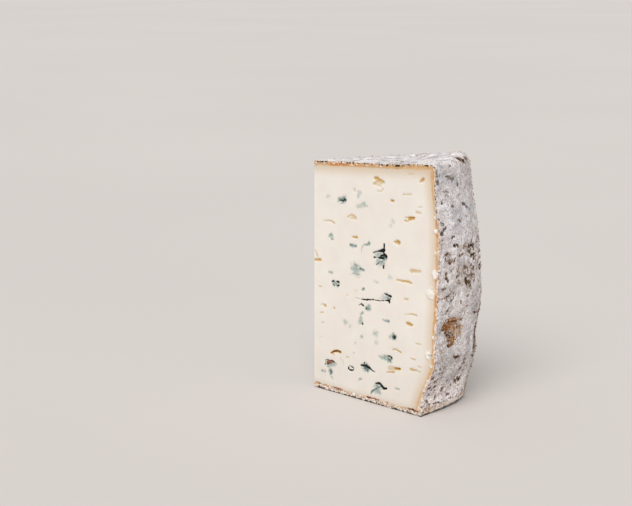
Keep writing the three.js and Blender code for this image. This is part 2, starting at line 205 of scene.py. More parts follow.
# Open cracks and hollows whose insides are black
FRONT_BLACKS = [
    (22.5, 125.3, 25.2, 125.6, 0.5, 0.7, 0.75), (25.2, 125.2, 28, 126.4, 0.6, 0.8, 0.8),
    (24.8, 124.3, 26, 123.8, 0.4, 0.5),
    # branches through the large fan
    (60.7, 103, 61, 100.6, 1.1, 1.2, 0.76), (61, 100.5, 60.2, 98.2, 1.1, 2.2, 1.05),
    (60.4, 98.6, 55.5, 97.6, 1.8, 0.5, 0.95), (55.5, 97.5, 51.5, 96, 0.6, 0.5),
    (60.3, 96.2, 63.1, 94.9, 1.6, 1.9, 1.1), (57.6, 94.6, 60.2, 95.6, 0.7, 1, 0.85),
    (60.4, 98.2, 60.6, 96.6, 1.2, 0.8), (56.6, 93.5, 60.2, 93.8, 0.7, 0.9, 1),
    (52.3, 93.4, 53.6, 93.5, 1.2, 0.56), (53.6, 93.5, 57, 93.6, 0.4, 0.45), (54.6, 89.1, 56, 90, 0.6, 0.62),
    (56, 90, 58.5, 91.8, 0.4, 0.4), (58.5, 90.8, 60.3, 92.6, 0.3, 0.35),
    (60.6, 89.2, 60.5, 87.5, 1, 1.2, 1.05),
    # the outline of the pocket at middle left
    (16.3, 72.2, 18.5, 72.8, 0.8, 1.1, 0.9), (20.5, 73, 22.8, 72.8, 0.9, 1.2, 0.85),
    (22.8, 70.9, 20.5, 70, 0.8, 0.65), (17, 71, 19, 69.8, 0.7, 0.5),
    # the long crack and the wedge's rim
    (36.5, 65, 41, 65.2, 0.3, 0.3), (41.2, 64.8, 44, 65.2, 0.3, 0.4, 0.55),
    (43.4, 65, 53, 66.5, 0.5, 0.32, 1.2), (53.3, 66.1, 64, 67.7, 0.25, 0.4, 0.68),
    (61, 71.8, 65, 71.5, 0.4, 0.7, 0.62), (64.8, 71.3, 67.3, 70.8, 0.9, 1.1, 1.05),
    (66.8, 70.4, 66.4, 68.5, 0.6, 0.7, 0.5), (63.7, 68, 66, 67.9, 0.9, 1.2, 1.05),
    (66, 67.6, 65.6, 66.2, 0.9, 0.7, 0.62), (41.6, 61.8, 42.6, 62.2, 0.5, 0.8, 0.7),
    (42.4, 61.7, 44.3, 61.2, 0.6, 0.7, 0.8), (39.5, 61.2, 41.5, 61.4, 0.4, 0.4),
    (43.2, 49.8, 43.3, 49, 1.1, 0.75), (69, 46.3, 70.5, 45, 1.8, 2.6, 0.6),
    # low left, round the rust-brown floor
    (10.4, 19.8, 13.5, 20.4, 0.4, 0.5, 0.6), (13.5, 20.2, 17.5, 20.3, 0.5, 0.55),
    (17.4, 20, 18.5, 19.6, 0.9, 0.95), (12, 17.5, 14, 17.9, 0.7, 0.95), (11, 19.5, 11, 18, 0.6, 0.6),
    (11, 17.8, 9.8, 16, 0.6, 0.4, 0.45),
    # a ring that is open to the right
    (31.2, 19.3, 31.3, 17.7, 0.8, 0.85), (31.5, 19.8, 36, 19.2, 0.3, 0.6, 0.3, 0.6),
    (32, 17.4, 36, 18.2, 0.9, 0.5, -0.3, 0.85),
    # low middle
    (45.5, 23, 50, 21.8, 1.7, 1.5, 1), (44.5, 24, 45.3, 25.3, 0.7, 0.6, 0.7),
    (41.6, 22.3, 45, 22.8, 0.9, 1.2, 0.8), (50, 21.8, 54, 20.2, 0.9, 0.6, 0.6),
    (63.5, 32.8, 67.3, 33, 0.4, 0.6, 0.2, 0.6), (67.3, 33, 68.4, 31.2, 1, 0.8, 0.85),
    (54.5, 13, 58, 14, 0.8, 1.2, 0.85), (58, 14, 60.5, 12, 1.2, 1.8, 1),
    (60.5, 11.9, 62.5, 11.2, 1.5, 1.4, 1), (62.5, 11.3, 64.4, 12, 1.2, 0.8, 0.9),
]
# A red-brown floor shows in one mould pocket
FRONT_RUST = [(12, 18.7, 17, 19.5, 1.8, 1.2, 0.9)]

# Holes of the back cut, by the rule that the solid follows
BACK_HOLES = dict(count=36, seed=2087, spacing=10.5)
BACK_RANGES = dict(
    along=(9, 90), up=(9, 140), wide=(3.5, 12), tall=(2, 5), deep=(1.2, 3), tilt=(-18, 22), bend=(-0.6, 1)
)
BACK_STAINS = 64
# The back cut is blue inside these zones and warm outside: along from and to, up from and to
HOLE_ZONE, STAIN_ZONE = (18, 70, 12, 130), (16, 72, 10, 132)

# Along the crust's cut edge, by up at the rim and by along at the top and the foot: from, to and how strong.
# Orange skin at the rim and at the top, black dots on the top edge and the red-brown seam over the foot
RIM_ORANGE = [
    (146, 152, 0.5), (117.5, 125, 1), (112, 115, 0.9), (96, 111, 0.4), (92.5, 94, 0.8), (81, 88, 0.8),
    (70, 78, 0.9), (58, 68, 0.45), (54, 58, 0.6), (46, 52.5, 0.5), (40, 44, 0.5), (34, 38, 0.6),
    (22, 30, 0.35),
]
TOP_ORANGE = [(13, 28, 1), (26, 32, 0.7), (5, 13, 0.4), (34, 46, 0.45), (50, 90, 0.12)]
TOP_DOTS = [
    (3, 4.5, 1), (6, 9, 1), (10, 12.5, 0.8), (24, 25, 0.8), (27, 28, 0.7), (29.2, 30, 0.9), (31.6, 32.4, 0.8),
    (34.2, 35.2, 1), (38.7, 39.4, 0.8), (43.6, 44.4, 0.9), (45.2, 46, 0.8), (50, 51, 0.9), (56, 57, 0.8),
    (58.7, 59.4, 0.8), (62, 64, 0.9), (67.2, 67.9, 0.8), (70, 73, 0.9), (74.9, 75.6, 0.7), (80, 81, 0.8),
    (83.6, 84.4, 0.8), (86.6, 87.4, 0.7), (89.2, 90, 0.8), (90.8, 91.4, 0.7), (93, 96, 0.9), (99, 100, 0.8),
]
FOOT_SEAM = [
    (1.5, 6.5, 0.9), (9, 14, 0.5), (16, 27, 0.55), (47, 58, 0.9), (62.5, 66, 0.6), (75, 82, 0.5),
    (82, 87, 1.2), (86.5, 91, 0.8),
]
# The back cut's edge repeats the front one's, moved on by this much
BACK_EDGE_SHIFT = 43.0

# On the crust, by arc and up: patches rubbed down to the brown skin
RIND_BARE = [
    # the large patch: a slanted block under a dark line, a leg down its right side and a ragged foot
    (11.2, 60.6, 20.4, 59.8, 1.9, 1.6, 0.8), (10.4, 59.2, 21.2, 58.2, 1, 1.25),
    (10, 61.2, 5.6, 55, 0.9, 1.1), (21, 59.8, 27, 58, 1.5, 1.2, 0.46), (11.5, 57.6, 18.8, 57, 2.8, 2.6, 0.7),
    (7.4, 56, 17.6, 55.9, 3.2, 0.86), (9.6, 59.4, 8.6, 57, 2.2, 3, 0.84),
    (14.6, 54.4, 18, 53.8, 2.4, 2.6, 0.8), (18.4, 56.8, 19.6, 51.2, 2.8, 2.4, 0.74),
    (6, 54.8, 14, 53.8, 0.9, 0.8, 1.1), (10.5, 52.2, 20, 50.8, 3.6, 2.8, 0.52),
    (13, 48.6, 19.8, 48, 3.6, 3.2, 0.86), (18.4, 50, 18.4, 45, 2.8, 2.6, 0.84),
    (15, 46.8, 18, 45.8, 2.8, 2.6, 0.74), (12.4, 44.2, 15.2, 43.8, 1.6, 1.5, 1.4),
    (14.4, 43.9, 19.2, 44.6, 2.1, 0.94), (25, 55.4, 24, 47.8, 7.4, 6.6, 0.52),
    (22.5, 54.2, 30, 53, 1.3, 1, 0.66), (4.2, 42.4, 7.6, 41.4, 2, 1.8, 0.55),
    # the shoulder's edge
    (0.5, 156, 20, 156.6, 0.8, 0.5),
    # thin brown patches
    (1, 75, 4.5, 75, 0.9, 0.8, 0.5), (28, 81.5, 34, 80, 2.6, 2.4, 0.62),
    (40, 94.5, 51, 93.6, 1.6, 1.2, 0.45), (34, 154.8, 43, 153, 3.5, 3, 0.6),
    # tan and dark brown along the foot
    (2, 2.6, 12, 2.4, 1, 0.5), (20, 3.6, 24, 3.4, 1, 0.5), (29, 1.6, 32, 1.6, 1.2, 0.75),
    (50, 1.6, 56, 1.4, 1.2, 1),
]
# Dark brown pits and creases
RIND_PITS = [
    # dark slits in and beside the rubbed patch
    (12.4, 52.9, 17, 51.4, 1.2, 0.9), (9.4, 53, 12.6, 52.2, 0.8, 0.7),
    (12.2, 50.4, 20.6, 49.6, 1, 1.1, 0.85), (13.4, 48.9, 16, 48.3, 1, 0.85),
    (13.8, 47.1, 15.4, 46.4, 1, 0.9), (19.8, 57.3, 21.4, 56.4, 1, 0.95), (21.2, 54.3, 22.8, 53.6, 1, 0.9),
    (26.2, 58, 27.8, 57.4, 1, 0.85), (21.4, 47.5, 23, 47.1, 0.9, 0.75),
    (12.4, 44.4, 14.8, 43.9, 1.3, 1.2, 1.1),
    # the brown far side, where its lowest patch, near the floor at the far end, is painted shade
    (54, 49, 56, 31, 9, 8, 0.58), (60, 18, 60, 4, 6, 0.42), (59.5, 118, 59.5, 92, 3, 0.48),
    (57, 66, 57.5, 54, 3, 5, 0.5), (52, 22, 54, 10, 3, 0.4),
    # the dark spot at the top's far corner
    (33, 155.2, 40, 155, 1.8, 1.5, 1.25), (39, 155.2, 45.5, 152.2, 1.5, 1.3, 1.15),
    (36, 153.4, 42, 152.4, 1, 0.95), (46, 154.6, 50, 152.6, 0.9, 0.8),
    # top and upper part
    (2, 151, 3.5, 148.5, 2.2, 2, 0.6), (0.4, 145, 2.5, 144.6, 1.7, 1.2, 0.55),
    (7.5, 138.4, 14, 138, 1.2, 1, 0.45), (10.5, 135.9, 13.5, 135.7, 0.9, 0.42),
    (15.5, 146, 22, 144.3, 2.2, 2, 0.45), (26, 144, 26.2, 141, 0.9, 0.55), (25.5, 141, 27, 140.9, 1.1, 0.8),
    (26.3, 135, 28, 134.7, 0.9, 0.6), (37.5, 138, 40.5, 137.2, 1, 0.6),
    (31.5, 128, 35.5, 127, 1.7, 1.4, 0.85), (35, 126.3, 39, 125.8, 0.8, 0.65),
    (39.5, 124.5, 43, 123.2, 1.1, 1, 0.5), (13.5, 129.3, 17.5, 129.1, 0.7, 0.42),
    (20.5, 120.8, 21, 120, 1.3, 0.65), (21, 119.6, 25, 119.3, 1.1, 1, 0.5), (57, 139.5, 60, 139, 1.2, 0.6),
    (52, 127.5, 56, 127, 1.2, 1, 0.5), (1, 113.6, 6.8, 117.8, 1.4, 1.2, 1), (0.2, 154.8, 0.3, 150.5, 1, 1),
    (11.5, 111, 15.5, 110.8, 1, 0.6), (0.4, 123.4, 1.4, 122.8, 1.2, 0.7),
    # the pitted band across the middle
    (14.5, 106, 19, 105, 1.1, 1, 0.85), (20.5, 99.5, 22.5, 99.2, 1.6, 1), (23.5, 99.5, 25.3, 99.3, 1, 0.75),
    (3.5, 101, 12, 100.5, 1.1, 1, 0.7, 0.55), (5, 98.5, 11, 98, 0.8, 0.8, -0.9, 0.45),
    (22.5, 102.8, 33, 102.3, 3, 2.6, 0.32), (34.5, 103, 43, 101, 1.2, 1.1, 0.9),
    (34, 101.6, 35.7, 101.4, 1, 0.85), (38.5, 95.2, 42, 95.7, 1.6, 1.4, 0.95),
    (42, 96, 47, 96.6, 1.2, 1.1, 0.9), (42, 94.7, 47, 94, 0.9, 0.8, 0.6), (47, 98.2, 49.5, 98.1, 1.2, 0.75),
    (48, 102.7, 52, 102, 1.1, 1, 0.55), (25, 90, 27, 88, 1.6, 0.85),
    (26.5, 91, 33, 87.5, 1.9, 1.6, 0.3, 0.6), (27.5, 87, 33, 84.5, 1.6, 1.4, 0.5),
    (18, 92, 21, 86, 3, 2.6, 0.32), (17.5, 84, 21, 81.5, 2.2, 2, 0.4), (38, 87.4, 40, 87.2, 1.4, 1.3, 0.95),
    (40, 87, 42.5, 86.4, 1, 0.6), (38, 86, 38.5, 84, 1.2, 0.85), (38.5, 84, 43, 83, 1.2, 1, 0.7),
    (35, 84, 41.5, 81, 1, 0.9, 0.7), (36.3, 82.2, 37.2, 81.6, 1.1, 0.9), (47, 86.3, 49, 85.2, 1, 0.5),
    (55.5, 86.3, 60, 85.8, 1.2, 0.75), (54, 84.5, 59, 84, 1, 0.7), (28, 81, 35, 79.5, 2.3, 2.1, 0.65),
    (32.5, 78.4, 35.5, 77.2, 1, 1.3, 1), (35.5, 77, 37, 76, 1, 0.9, 0.6),
    # the ring under it, and small ticks
    (7.5, 75.7, 10, 76, 0.9, 0.7), (7.6, 75.4, 8, 74, 0.8, 0.6), (8, 73.5, 13, 72.5, 0.8, 0.7, -0.5, 0.45),
    (12, 72.9, 15.5, 73.2, 1.1, 1, 0.7), (16, 74, 15.5, 77, 0.9, 0.5), (11, 77, 16, 78, 0.8, 0.8, 0.4, 0.45),
    (8.2, 67, 9, 65.8, 1.2, 1.1, 0.75), (30, 72.5, 36, 70.6, 1.1, 1, 0.5),
    (39, 71, 42, 70.3, 1.6, 1.4, 0.45), (21, 77, 22.5, 76, 1, 0.9, 0.55),
    (48, 77.7, 52.5, 76.8, 1.1, 1, 0.65), (25, 57.9, 26.3, 57.8, 1.2, 0.8), (44.5, 58.2, 47, 58, 1.2, 0.85),
    (47, 58.3, 58, 57.3, 1, 0.9, 0.65), (50.5, 48.7, 60, 46.5, 1.2, 1.1, 0.75),
    (48, 42, 58, 40.5, 1.4, 1.2, 0.6),
    # low down
    (20.8, 36.5, 22, 34, 1.4, 1.5, 0.9), (21.5, 35.5, 26, 34, 1.8, 1.4, 1),
    (5, 30.8, 7.5, 30.7, 1.3, 1.2, 0.6), (6, 28, 9, 26.8, 1.2, 0.8), (33.5, 31.5, 37, 30.6, 1.2, 1.1, 0.9),
    (34.5, 28.8, 38.5, 27, 1, 0.9, 0.6), (30, 25.5, 34, 24.5, 1.5, 1.4, 0.6), (40.5, 22, 43, 21.5, 1, 0.75),
    (1, 26, 2.7, 25.4, 1, 0.95), (6, 22.5, 9, 21, 1.3, 1.2, 0.7), (29.5, 19.5, 35.5, 15, 1.6, 1.4, 0.6),
    (31, 18.3, 33, 17.3, 1.9, 1.7, 0.66), (38, 18.7, 41.5, 17.8, 1.2, 1, 0.8),
    (10, 15.8, 11, 15.2, 1.1, 1, 0.7), (17, 15.5, 19.5, 14, 1.1, 1, 0.7), (46, 35.2, 51, 34.3, 1.2, 1, 0.75),
    (47, 30.3, 51.5, 29.3, 1.2, 1, 0.75), (51, 23, 60, 21, 1.4, 1.2, 0.5),
    (48.5, 7.5, 50.5, 6.5, 1.1, 1, 0.65),
    # the crease over the foot's lip
    (1, 5.6, 11, 5.9, 0.8, 0.8, 0.2, 0.7), (11, 5.8, 21, 5.2, 0.9, 0.8, 0.75), (21, 5, 35, 5.2, 0.8, 0.6),
    (35, 5, 44, 3.5, 0.8, 0.6), (45.9, 1.8, 59.9, 0.8, 0.7, 0.6, 0.45),
]
# Where small pits crowd together
PIT_CROWDS = [
    (44, 99, 45, 92, 9, 0.8), (27, 92, 34, 77, 9, 0.9), (39, 90, 40, 80, 7, 0.9),
    (51, 94, 56, 82, 8, 9, 0.8), (36, 104, 39, 99, 6, 0.7), (8, 100, 9, 97, 5, 0.6),
    (10, 74, 14, 76, 4, 0.6), (2, 93, 7, 87, 4, 0.7), (22, 56, 20, 47, 6, 5, 0.6), (12, 52, 15, 47, 5, 0.9),
    (56, 52, 54, 30, 10, 9, 0.8), (32, 18, 40, 17, 6, 0.7), (2, 27, 9, 18, 6, 5, 0.6), (2, 14, 7, 8, 4, 0.5),
    (3, 153, 3, 147, 5, 4, 0.6), (46, 156, 53, 150, 6, 0.5),
]
# Thick white bloom
RIND_BLOOM = [
    (5.6, 48.8, 9.4, 48.6, 2.4, 0.95), (8.8, 89.6, 7.8, 82.6, 4.4, 4, 0.8),
    (15.2, 66.6, 19.2, 65, 5, 4, 0.8), (2.6, 73, 4, 71.4, 3.2, 2.8, 0.8),
    (14.6, 90.6, 14.8, 80.4, 3.6, 4.6, 0.8), (23, 112, 28.6, 120.4, 5.4, 4.6, 0.7),
    (12, 38, 20, 22, 8, 9, 0.9), (20, 30, 28, 25, 6, 0.7), (28.6, 54, 38, 62, 6, 5, 0.7),
    (40, 30, 46, 44, 6, 5, 0.6), (43.2, 95.4, 44.6, 95.2, 1.4, 0.8), (11, 76.2, 13, 76, 2, 0.7),
    (6.4, 136, 9, 129, 4, 0.6), (24, 45, 33, 38, 5, 4.6, 0.7),
]

# Grey clouds and beige ones
RIND_GREY = [
    (6, 151, 10, 143, 7, 6, 0.9), (14, 149, 24, 143, 6, 0.9), (25, 144, 27, 140, 4, 0.8),
    (34, 127, 52, 122, 5, 7, 0.8), (48, 148, 56, 132, 6, 5, 0.6), (36, 114, 44, 109, 6, 0.6),
    (12, 128, 30, 118, 9, 0.6), (18, 104, 22, 101, 4, 0.5),
]
RIND_BEIGE = [
    (1, 127, 7, 121, 7, 6, 0.8), (6, 138.5, 15, 136, 5, 4, 0.7), (2, 112, 10, 104, 6, 0.6),
    (24, 104, 44, 98, 9, 8, 0.8), (41, 114, 52, 108, 6, 0.5), (3, 96, 9, 86, 8, 0.6),
    (18, 90, 34, 78, 9, 0.7), (2, 22, 6, 6, 6, 8, 0.6), (30, 20, 36, 12, 7, 0.5),
]

# White tufts and crumbs on the front cut where it meets the crust: along, up, width, height
TUFTS = [
    (102.3, 90.2, 3.4, 5.4), (98.4, 77.8, 4.5, 3.8), (98, 39.6, 4.5, 3.2), (101.7, 124, 1.6, 1.8),
    (102, 116, 2, 2.4), (97.6, 23.2, 2.2, 2.2), (101.2, 51, 1.6, 1.8), (99.6, 33.6, 1.5, 1.5),
    (102.2, 103, 1.4, 1.8), (95.4, 17.2, 1.8, 1.8), (93.4, 10.4, 1.8, 1.6),
]
# A dark slit in one of the tufts
TUFT_SLITS = [(98, 39.8, 100.3, 39.8, 1, 0.9, 0.8)]
LUMPS_PER_TUFT = 40
# Crumbs, scattered over this many turns of the skin
CRUMBS_ON_RIM, CRUMBS_ON_EDGES, CRUMBS_ON_FOOT, CRUMBS_ON_LIP = 620, 560, 900, 160
CRUMB_TURNS = 57


# ---------------------------------------------------------------- numbers
def ease(x, start, end):
    """Smooth step: 0 at start, 1 at end, with level ends. start may be the larger one."""
    t = np.clip((np.asarray(x, float) - start) / (end - start), 0.0, 1.0)
    return t * t * (3 - 2 * t)


def lerp(a, b, t):
    """The point t of the way from a to b."""
    return a + (b - a) * t


def field_noise(points, cell, seed=0):
    """Smooth random field from -1 to 1: hashed values at the corners of cubes of side `cell`, blended."""
    scaled = np.asarray(points, float) / cell
    corner = np.floor(scaled).astype(np.int64)
    part = scaled - corner
    part = part * part * (3 - 2 * part)
    total = np.zeros(scaled.shape[:-1])
    for step in np.ndindex(2, 2, 2):
        cube = corner + np.array(step)
        mixed = cube[..., 0] * 73856093 ^ cube[..., 1] * 19349663 ^ cube[..., 2] * 83492791
        mixed = mixed ^ (seed * 7919 + 17)
        mixed = (mixed ^ (mixed >> 13)) * 1274126177 & 0x7FFFFFFF
        value = ((mixed ^ (mixed >> 16)) & 0xFFFF) / 32767.5 - 1
        weight = np.prod(np.where(step, part, 1 - part), axis=-1)
        total += weight * value
    return total


def layered_noise(points, cell, layers=3, seed=0):
    """Sum of smooth fields, each half as coarse and half as strong as the one before."""
    total = np.zeros(np.shape(points)[:-1])
    for layer in range(layers):
        total += field_noise(points, cell / 2**layer, seed + layer) / 2**layer
    return total


def park_miller(seed):
    """Repeatable random numbers from 0 to 1, the same series as in the solid's source."""
    state = seed
    while True:
        state = state * 16807 % 2147483647
        yield state / 2147483647


def stroke_field(u, v, strokes, style, seed):
    """Depth and strength of a set of bowed strokes at the points (u, v), which noise first pushes about.

    A point's place along a stroke comes from its projection on the chord. Its distance from the bowed
    middle line, over half the width there and roughened by noise, falls from inside to outside. The halo
    is a weak rim of colour that reaches 1.3 half widths further. Shade is painted shade under a stroke's
    upper edge: how much stronger the colour gets towards that edge, and weaker towards its lower one."""
    softness, rough, halo, shade = style
    depth = np.zeros(np.shape(u))
    strength = np.zeros(np.shape(u))
    flat = np.stack([u, v, np.zeros(np.shape(u))], axis=-1)
    ragged = rough * layered_noise(flat, 1.3, 2, seed)
    u = u + rough * (0.9 * field_noise(flat, 2.6, seed + 1) + 0.6 * field_noise(flat, 1.0, seed + 2))
    v = v + rough * (0.9 * field_noise(flat, 2.6, seed + 3) + 0.6 * field_noise(flat, 1.0, seed + 4))
    for u0, v0, u1, v1, start_width, end_width, bow, deep, start_strong, end_strong in strokes:
        run = np.hypot(u1 - u0, v1 - v0)
        du, dv = (u1 - u0) / run, (v1 - v0) / run
        along = (u - u0) * du + (v - v0) * dv
        t = np.clip(along / run, 0, 1)
        across = (v - v0) * du - (u - u0) * dv - bow * 4 * t * (1 - t)
        past_end = along - t * run
        half_width = lerp(start_width, end_width, t) / 2
        q = np.hypot(across, past_end) / half_width + ragged
        inside = ease(q, 1 + softness, 1 - softness)
        higher = np.clip((v - lerp(v0, v1, t)) / half_width, -1, 1)
        strong = lerp(start_strong, end_strong, t) * (1 + shade * higher)
        depth = np.where(np.abs(deep) * inside > np.abs(depth), deep * inside, depth)
        strength = np.maximum(strength, strong * np.maximum(inside, halo * ease(q, 2.3, 0.7)))
    return depth, strength


def with_depth(rows, depth):
    """Strokes for `stroke_field` from rows of a table. `depth` gives a stroke's depth from its width and
    strength. Its colour is weaker at its narrower end. Both ends are drawn in, because they are round."""
    strokes = []
    for u0, v0, u1, v1, start_width, *others, strong in rows:
        end_width = others[0] if others else start_width
        bow = others[1] if len(others) > 1 else 0
        start_width, end_width = start_width + EDGE_BLUR, end_width + EDGE_BLUR
        widest = max(start_width, end_width)
        run = np.hypot(u1 - u0, v1 - v0)
        first, last = (min(0.35 * width / run, 0.4) for width in (start_width, end_width))
        u0, v0, u1, v1 = lerp(u0, u1, first), lerp(v0, v1, first), lerp(u1, u0, last), lerp(v1, v0, last)
        ends = [strong * np.sqrt(width / widest) for width in (start_width, end_width)]
        strokes.append((u0, v0, u1, v1, start_width, end_width, bow, depth(widest, strong), *ends))
    return strokes


def flat_strength(u, v, rows, style, seed):
    """Strength alone of the strokes in a table's rows."""
    flat = with_depth(rows, lambda width, strong: 0.0)
    return stroke_field(u, v, flat, style, seed)[1]


def eye_depth(width, strong):
    """Gas holes are bowls, shallow where they are faint."""
    return 0.42 * width * strong


def pocket_depth(width, strong):
    """Only strong mould lies in a hollow."""
    return 0.3 * width * max(strong - 0.3, 0)


def crack_depth(width, strong):
    """Cracks go deep for their width."""
    return min(1.5, 0.5 + 0.4 * width) * strong


def stretch_strength(place, stretches, soft):
    """Strength of the strongest stretch that each place lies in, falling off over `soft` at its ends."""
    total = np.zeros(np.shape(place))
    for start, end, strong in stretches:
        past = np.abs(place - (start + end) / 2) - (end - start) / 2
        total = np.maximum(total, strong * ease(past, soft, -soft))
    return total


# ---------------------------------------------------------------- the wedge's form
def profile(belly, steps, z):
    """Rim radius at a cut: the belly's, plus the steps, each a smooth one from its start to its end."""
    return sum((out * ease(z, start, end) for out, start, end in steps), belly)


def rim_radius(turn, z):
    """Blend of both profiles, turn 0 at the front cut and 1 at the back cut."""
    return lerp(profile(FRONT_BELLY, FRONT_STEPS, z), profile(BACK_BELLY, BACK_STEPS, z), ease(turn, 0, 1))


def top_height(turn, reach):
    """Height of the top: a straight climb from the point, reach 0, to the rim, reach 1. It sags slightly
    at the front cut and bulges slightly at the back cut, most before the middle."""
    rim = lerp(FRONT_HEIGHT, BACK_HEIGHT, turn)
    bulge = lerp(-FRONT_SAG, BACK_BULGE, turn)
    return lerp(POINT_HEIGHT, rim, reach) + bulge * np.sin(np.pi * np.clip(reach, 0, 1) ** 0.7)


def in_space(turn, radius, z):
    """Cylinder coordinates to points, stacked on the last axis."""
    angle = (turn - 0.5) * WEDGE_ANGLE
    return np.stack([radius * np.cos(angle), radius * np.sin(angle), z + 0 * angle], axis=-1)


def waviness(points):
    """Sum of sine waves, each shorter and lower than the last, along directions spread over a sphere."""
    total = np.zeros(points.shape[:-1])
    for i in range(WAVE_COUNT):
        rise = 1 - (2 * i + 1) / WAVE_COUNT
        flat = np.sqrt(1 - rise * rise)
        direction = np.array([flat * np.cos(i * GOLDEN_ANGLE), flat * np.sin(i * GOLDEN_ANGLE), rise])
        cycles = points @ direction / (LONGEST_WAVE * WAVE_SHORTENING**i)
        total += HIGHEST_WAVE * WAVE_LOWERING**i * np.sin(2 * np.pi * cycles + i)
    return total


def spot_relief(turn, z):
    """Sum of bell-shaped swellings and dents, by arc and height."""
    arc = turn * WEDGE_ANGLE * FRONT_BELLY
    total = np.zeros(np.broadcast(arc, z).shape)
    for spot_arc, up, wide, tall, out in RIND_SPOTS:
        total += out * np.exp(-(((arc - spot_arc) / wide) ** 2) - ((z - up) / tall) ** 2)
    return total


def skin_path(turn, inset):
    """The crust's path in the plane at each turn, `inset` below its surface: along the bottom from the
    point, round the foot, up the rim, round the corner and back along the top.

    Returns rows by turns of radius, height, slope of the way out, and how much relief there is."""
    turn = np.atleast_1d(turn)[None, :]
    quarter = np.pi / 2
    foot = np.maximum(lerp(FRONT_FOOT, BACK_FOOT, turn) - inset, 0.3)
    corner = np.maximum(lerp(FRONT_CORNER, BACK_CORNER, turn) - inset, 0.4)
    shoulder = lerp(FRONT_HEIGHT, BACK_HEIGHT, turn) - inset - corner
    foot_centre = rim_radius(turn, inset + foot) - inset - foot
    top_edge = rim_radius(turn, shoulder) - inset - corner

    def column(count):
        return (np.arange(count) / count)[:, None]

    bottom = column(BOTTOM_POINTS)
    bottom_r = lerp(SHOWN_POINT_RADIUS, foot_centre, bottom)
    foot_slope = quarter * (column(FOOT_POINTS) - 1)
    foot_r = foot_centre + foot * np.cos(foot_slope)
    foot_z = inset + foot * (1 + np.sin(foot_slope))
    rim = column(RIM_POINTS)
    rim_z = lerp(inset + foot, shoulder, rim)
    rim_r = rim_radius(turn, rim_z) - inset
    corner_slope = quarter * column(CORNER_POINTS)
    corner_r = top_edge + corner * np.cos(corner_slope)
    corner_z = shoulder + corner * np.sin(corner_slope)
    back = (np.arange(TOP_POINTS) / (TOP_POINTS - 1))[:, None]
    top_r = lerp(top_edge, SHOWN_POINT_RADIUS, back)
    reach = (top_r - POINT_RADIUS) / (top_edge - POINT_RADIUS)
    top_z = top_height(turn, reach) - inset
    calm = lerp(TOP_CALM, 1, ease(reach, 0.85, 1)) * ease(top_r, POINT_RADIUS, 12)

    def stacked(*parts):
        return np.concatenate([part + 0 * turn for part in parts])

    radius = stacked(bottom_r, foot_r, rim_r, corner_r, top_r)
    z = stacked(inset + 0 * bottom, foot_z, rim_z, corner_z, top_z)
    slope = stacked(0 * bottom - quarter, foot_slope, 0 * rim, corner_slope, quarter + 0 * back)
    relief = stacked(0 * bottom, 0 * foot_slope, ease(rim_z, inset, 4), 1 + 0 * corner_slope, calm)
    return radius, z, slope, relief


def skin_points(turn, inset=0.0, fine=None):
    """The skin's points in space, rows by turns, with the coarse relief and any finer one raised on it."""
    radius, z, slope, relief = skin_path(turn, inset)
    turns = np.broadcast_to(np.atleast_1d(turn)[None, :], radius.shape)
    smooth = in_space(turns, radius + inset * np.cos(slope), z + inset * np.sin(slope))
    out = relief * (waviness(smooth) + spot_relief(turns, smooth[..., 2]))
    if fine is not None:
        out = out + fine
    return in_space(turns, radius + out * np.cos(slope), z + out * np.sin(slope))


FOOT_ROW = BOTTOM_POINTS + FOOT_POINTS // 2
CORNER_ROW = BOTTOM_POINTS + FOOT_POINTS + RIM_POINTS + CORNER_POINTS // 2


def resample(points, count):
    """The same line with `count` points, evenly spaced along it."""
    steps = np.linalg.norm(np.diff(points, axis=0), axis=1)
    travelled = np.concatenate([[0], np.cumsum(steps)])
    wanted = np.linspace(0, travelled[-1], count)
    return np.stack([np.interp(wanted, travelled, points[:, k]) for k in range(points.shape[1])], axis=1)


def slice_edges(turn, inset):
    """Bottom, rim and top edges and the point's edge of the upright slice at one turn, evenly spaced."""
    skin = skin_points(turn, inset)[:, 0]
    bottom = resample(skin[: FOOT_ROW + 1], GRID_ALONG)
    rim = resample(skin[FOOT_ROW : CORNER_ROW + 1], GRID_UP)
    top = resample(skin[CORNER_ROW:][::-1], GRID_ALONG)
    point = resample(np.stack([skin[0], skin[-1]]), GRID_UP)
    return bottom, rim, top, point


def slice_grid(turn, inset):
    """Points over one slice, up by along: a Coons patch, so that its border is exactly its four edges."""
    bottom, rim, top, point = slice_edges(turn, inset)
    s = np.linspace(0, 1, GRID_ALONG)[None, :, None]
    h = np.linspace(0, 1, GRID_UP)[:, None, None]
    ruled = lerp(bottom[None], top[None], h) + lerp(point[:, None], rim[:, None], s)
    corners = lerp(lerp(bottom[0], bottom[-1], s), lerp(top[0], top[-1], s), h)
    return ruled - corners


# ---------------------------------------------------------------- meshes
def grid_faces(rows, columns, first=0, flipped=False):
    """Quads of a rows by columns grid whose first point has index `first`."""
    corner = first + np.arange(rows - 1)[:, None] * columns + np.arange(columns - 1)[None, :]
    around = [corner, corner + 1, corner + columns + 1, corner + columns]
    quads = np.stack(around[::-1] if flipped else around, axis=-1)
    return quads.reshape(-1, 4)


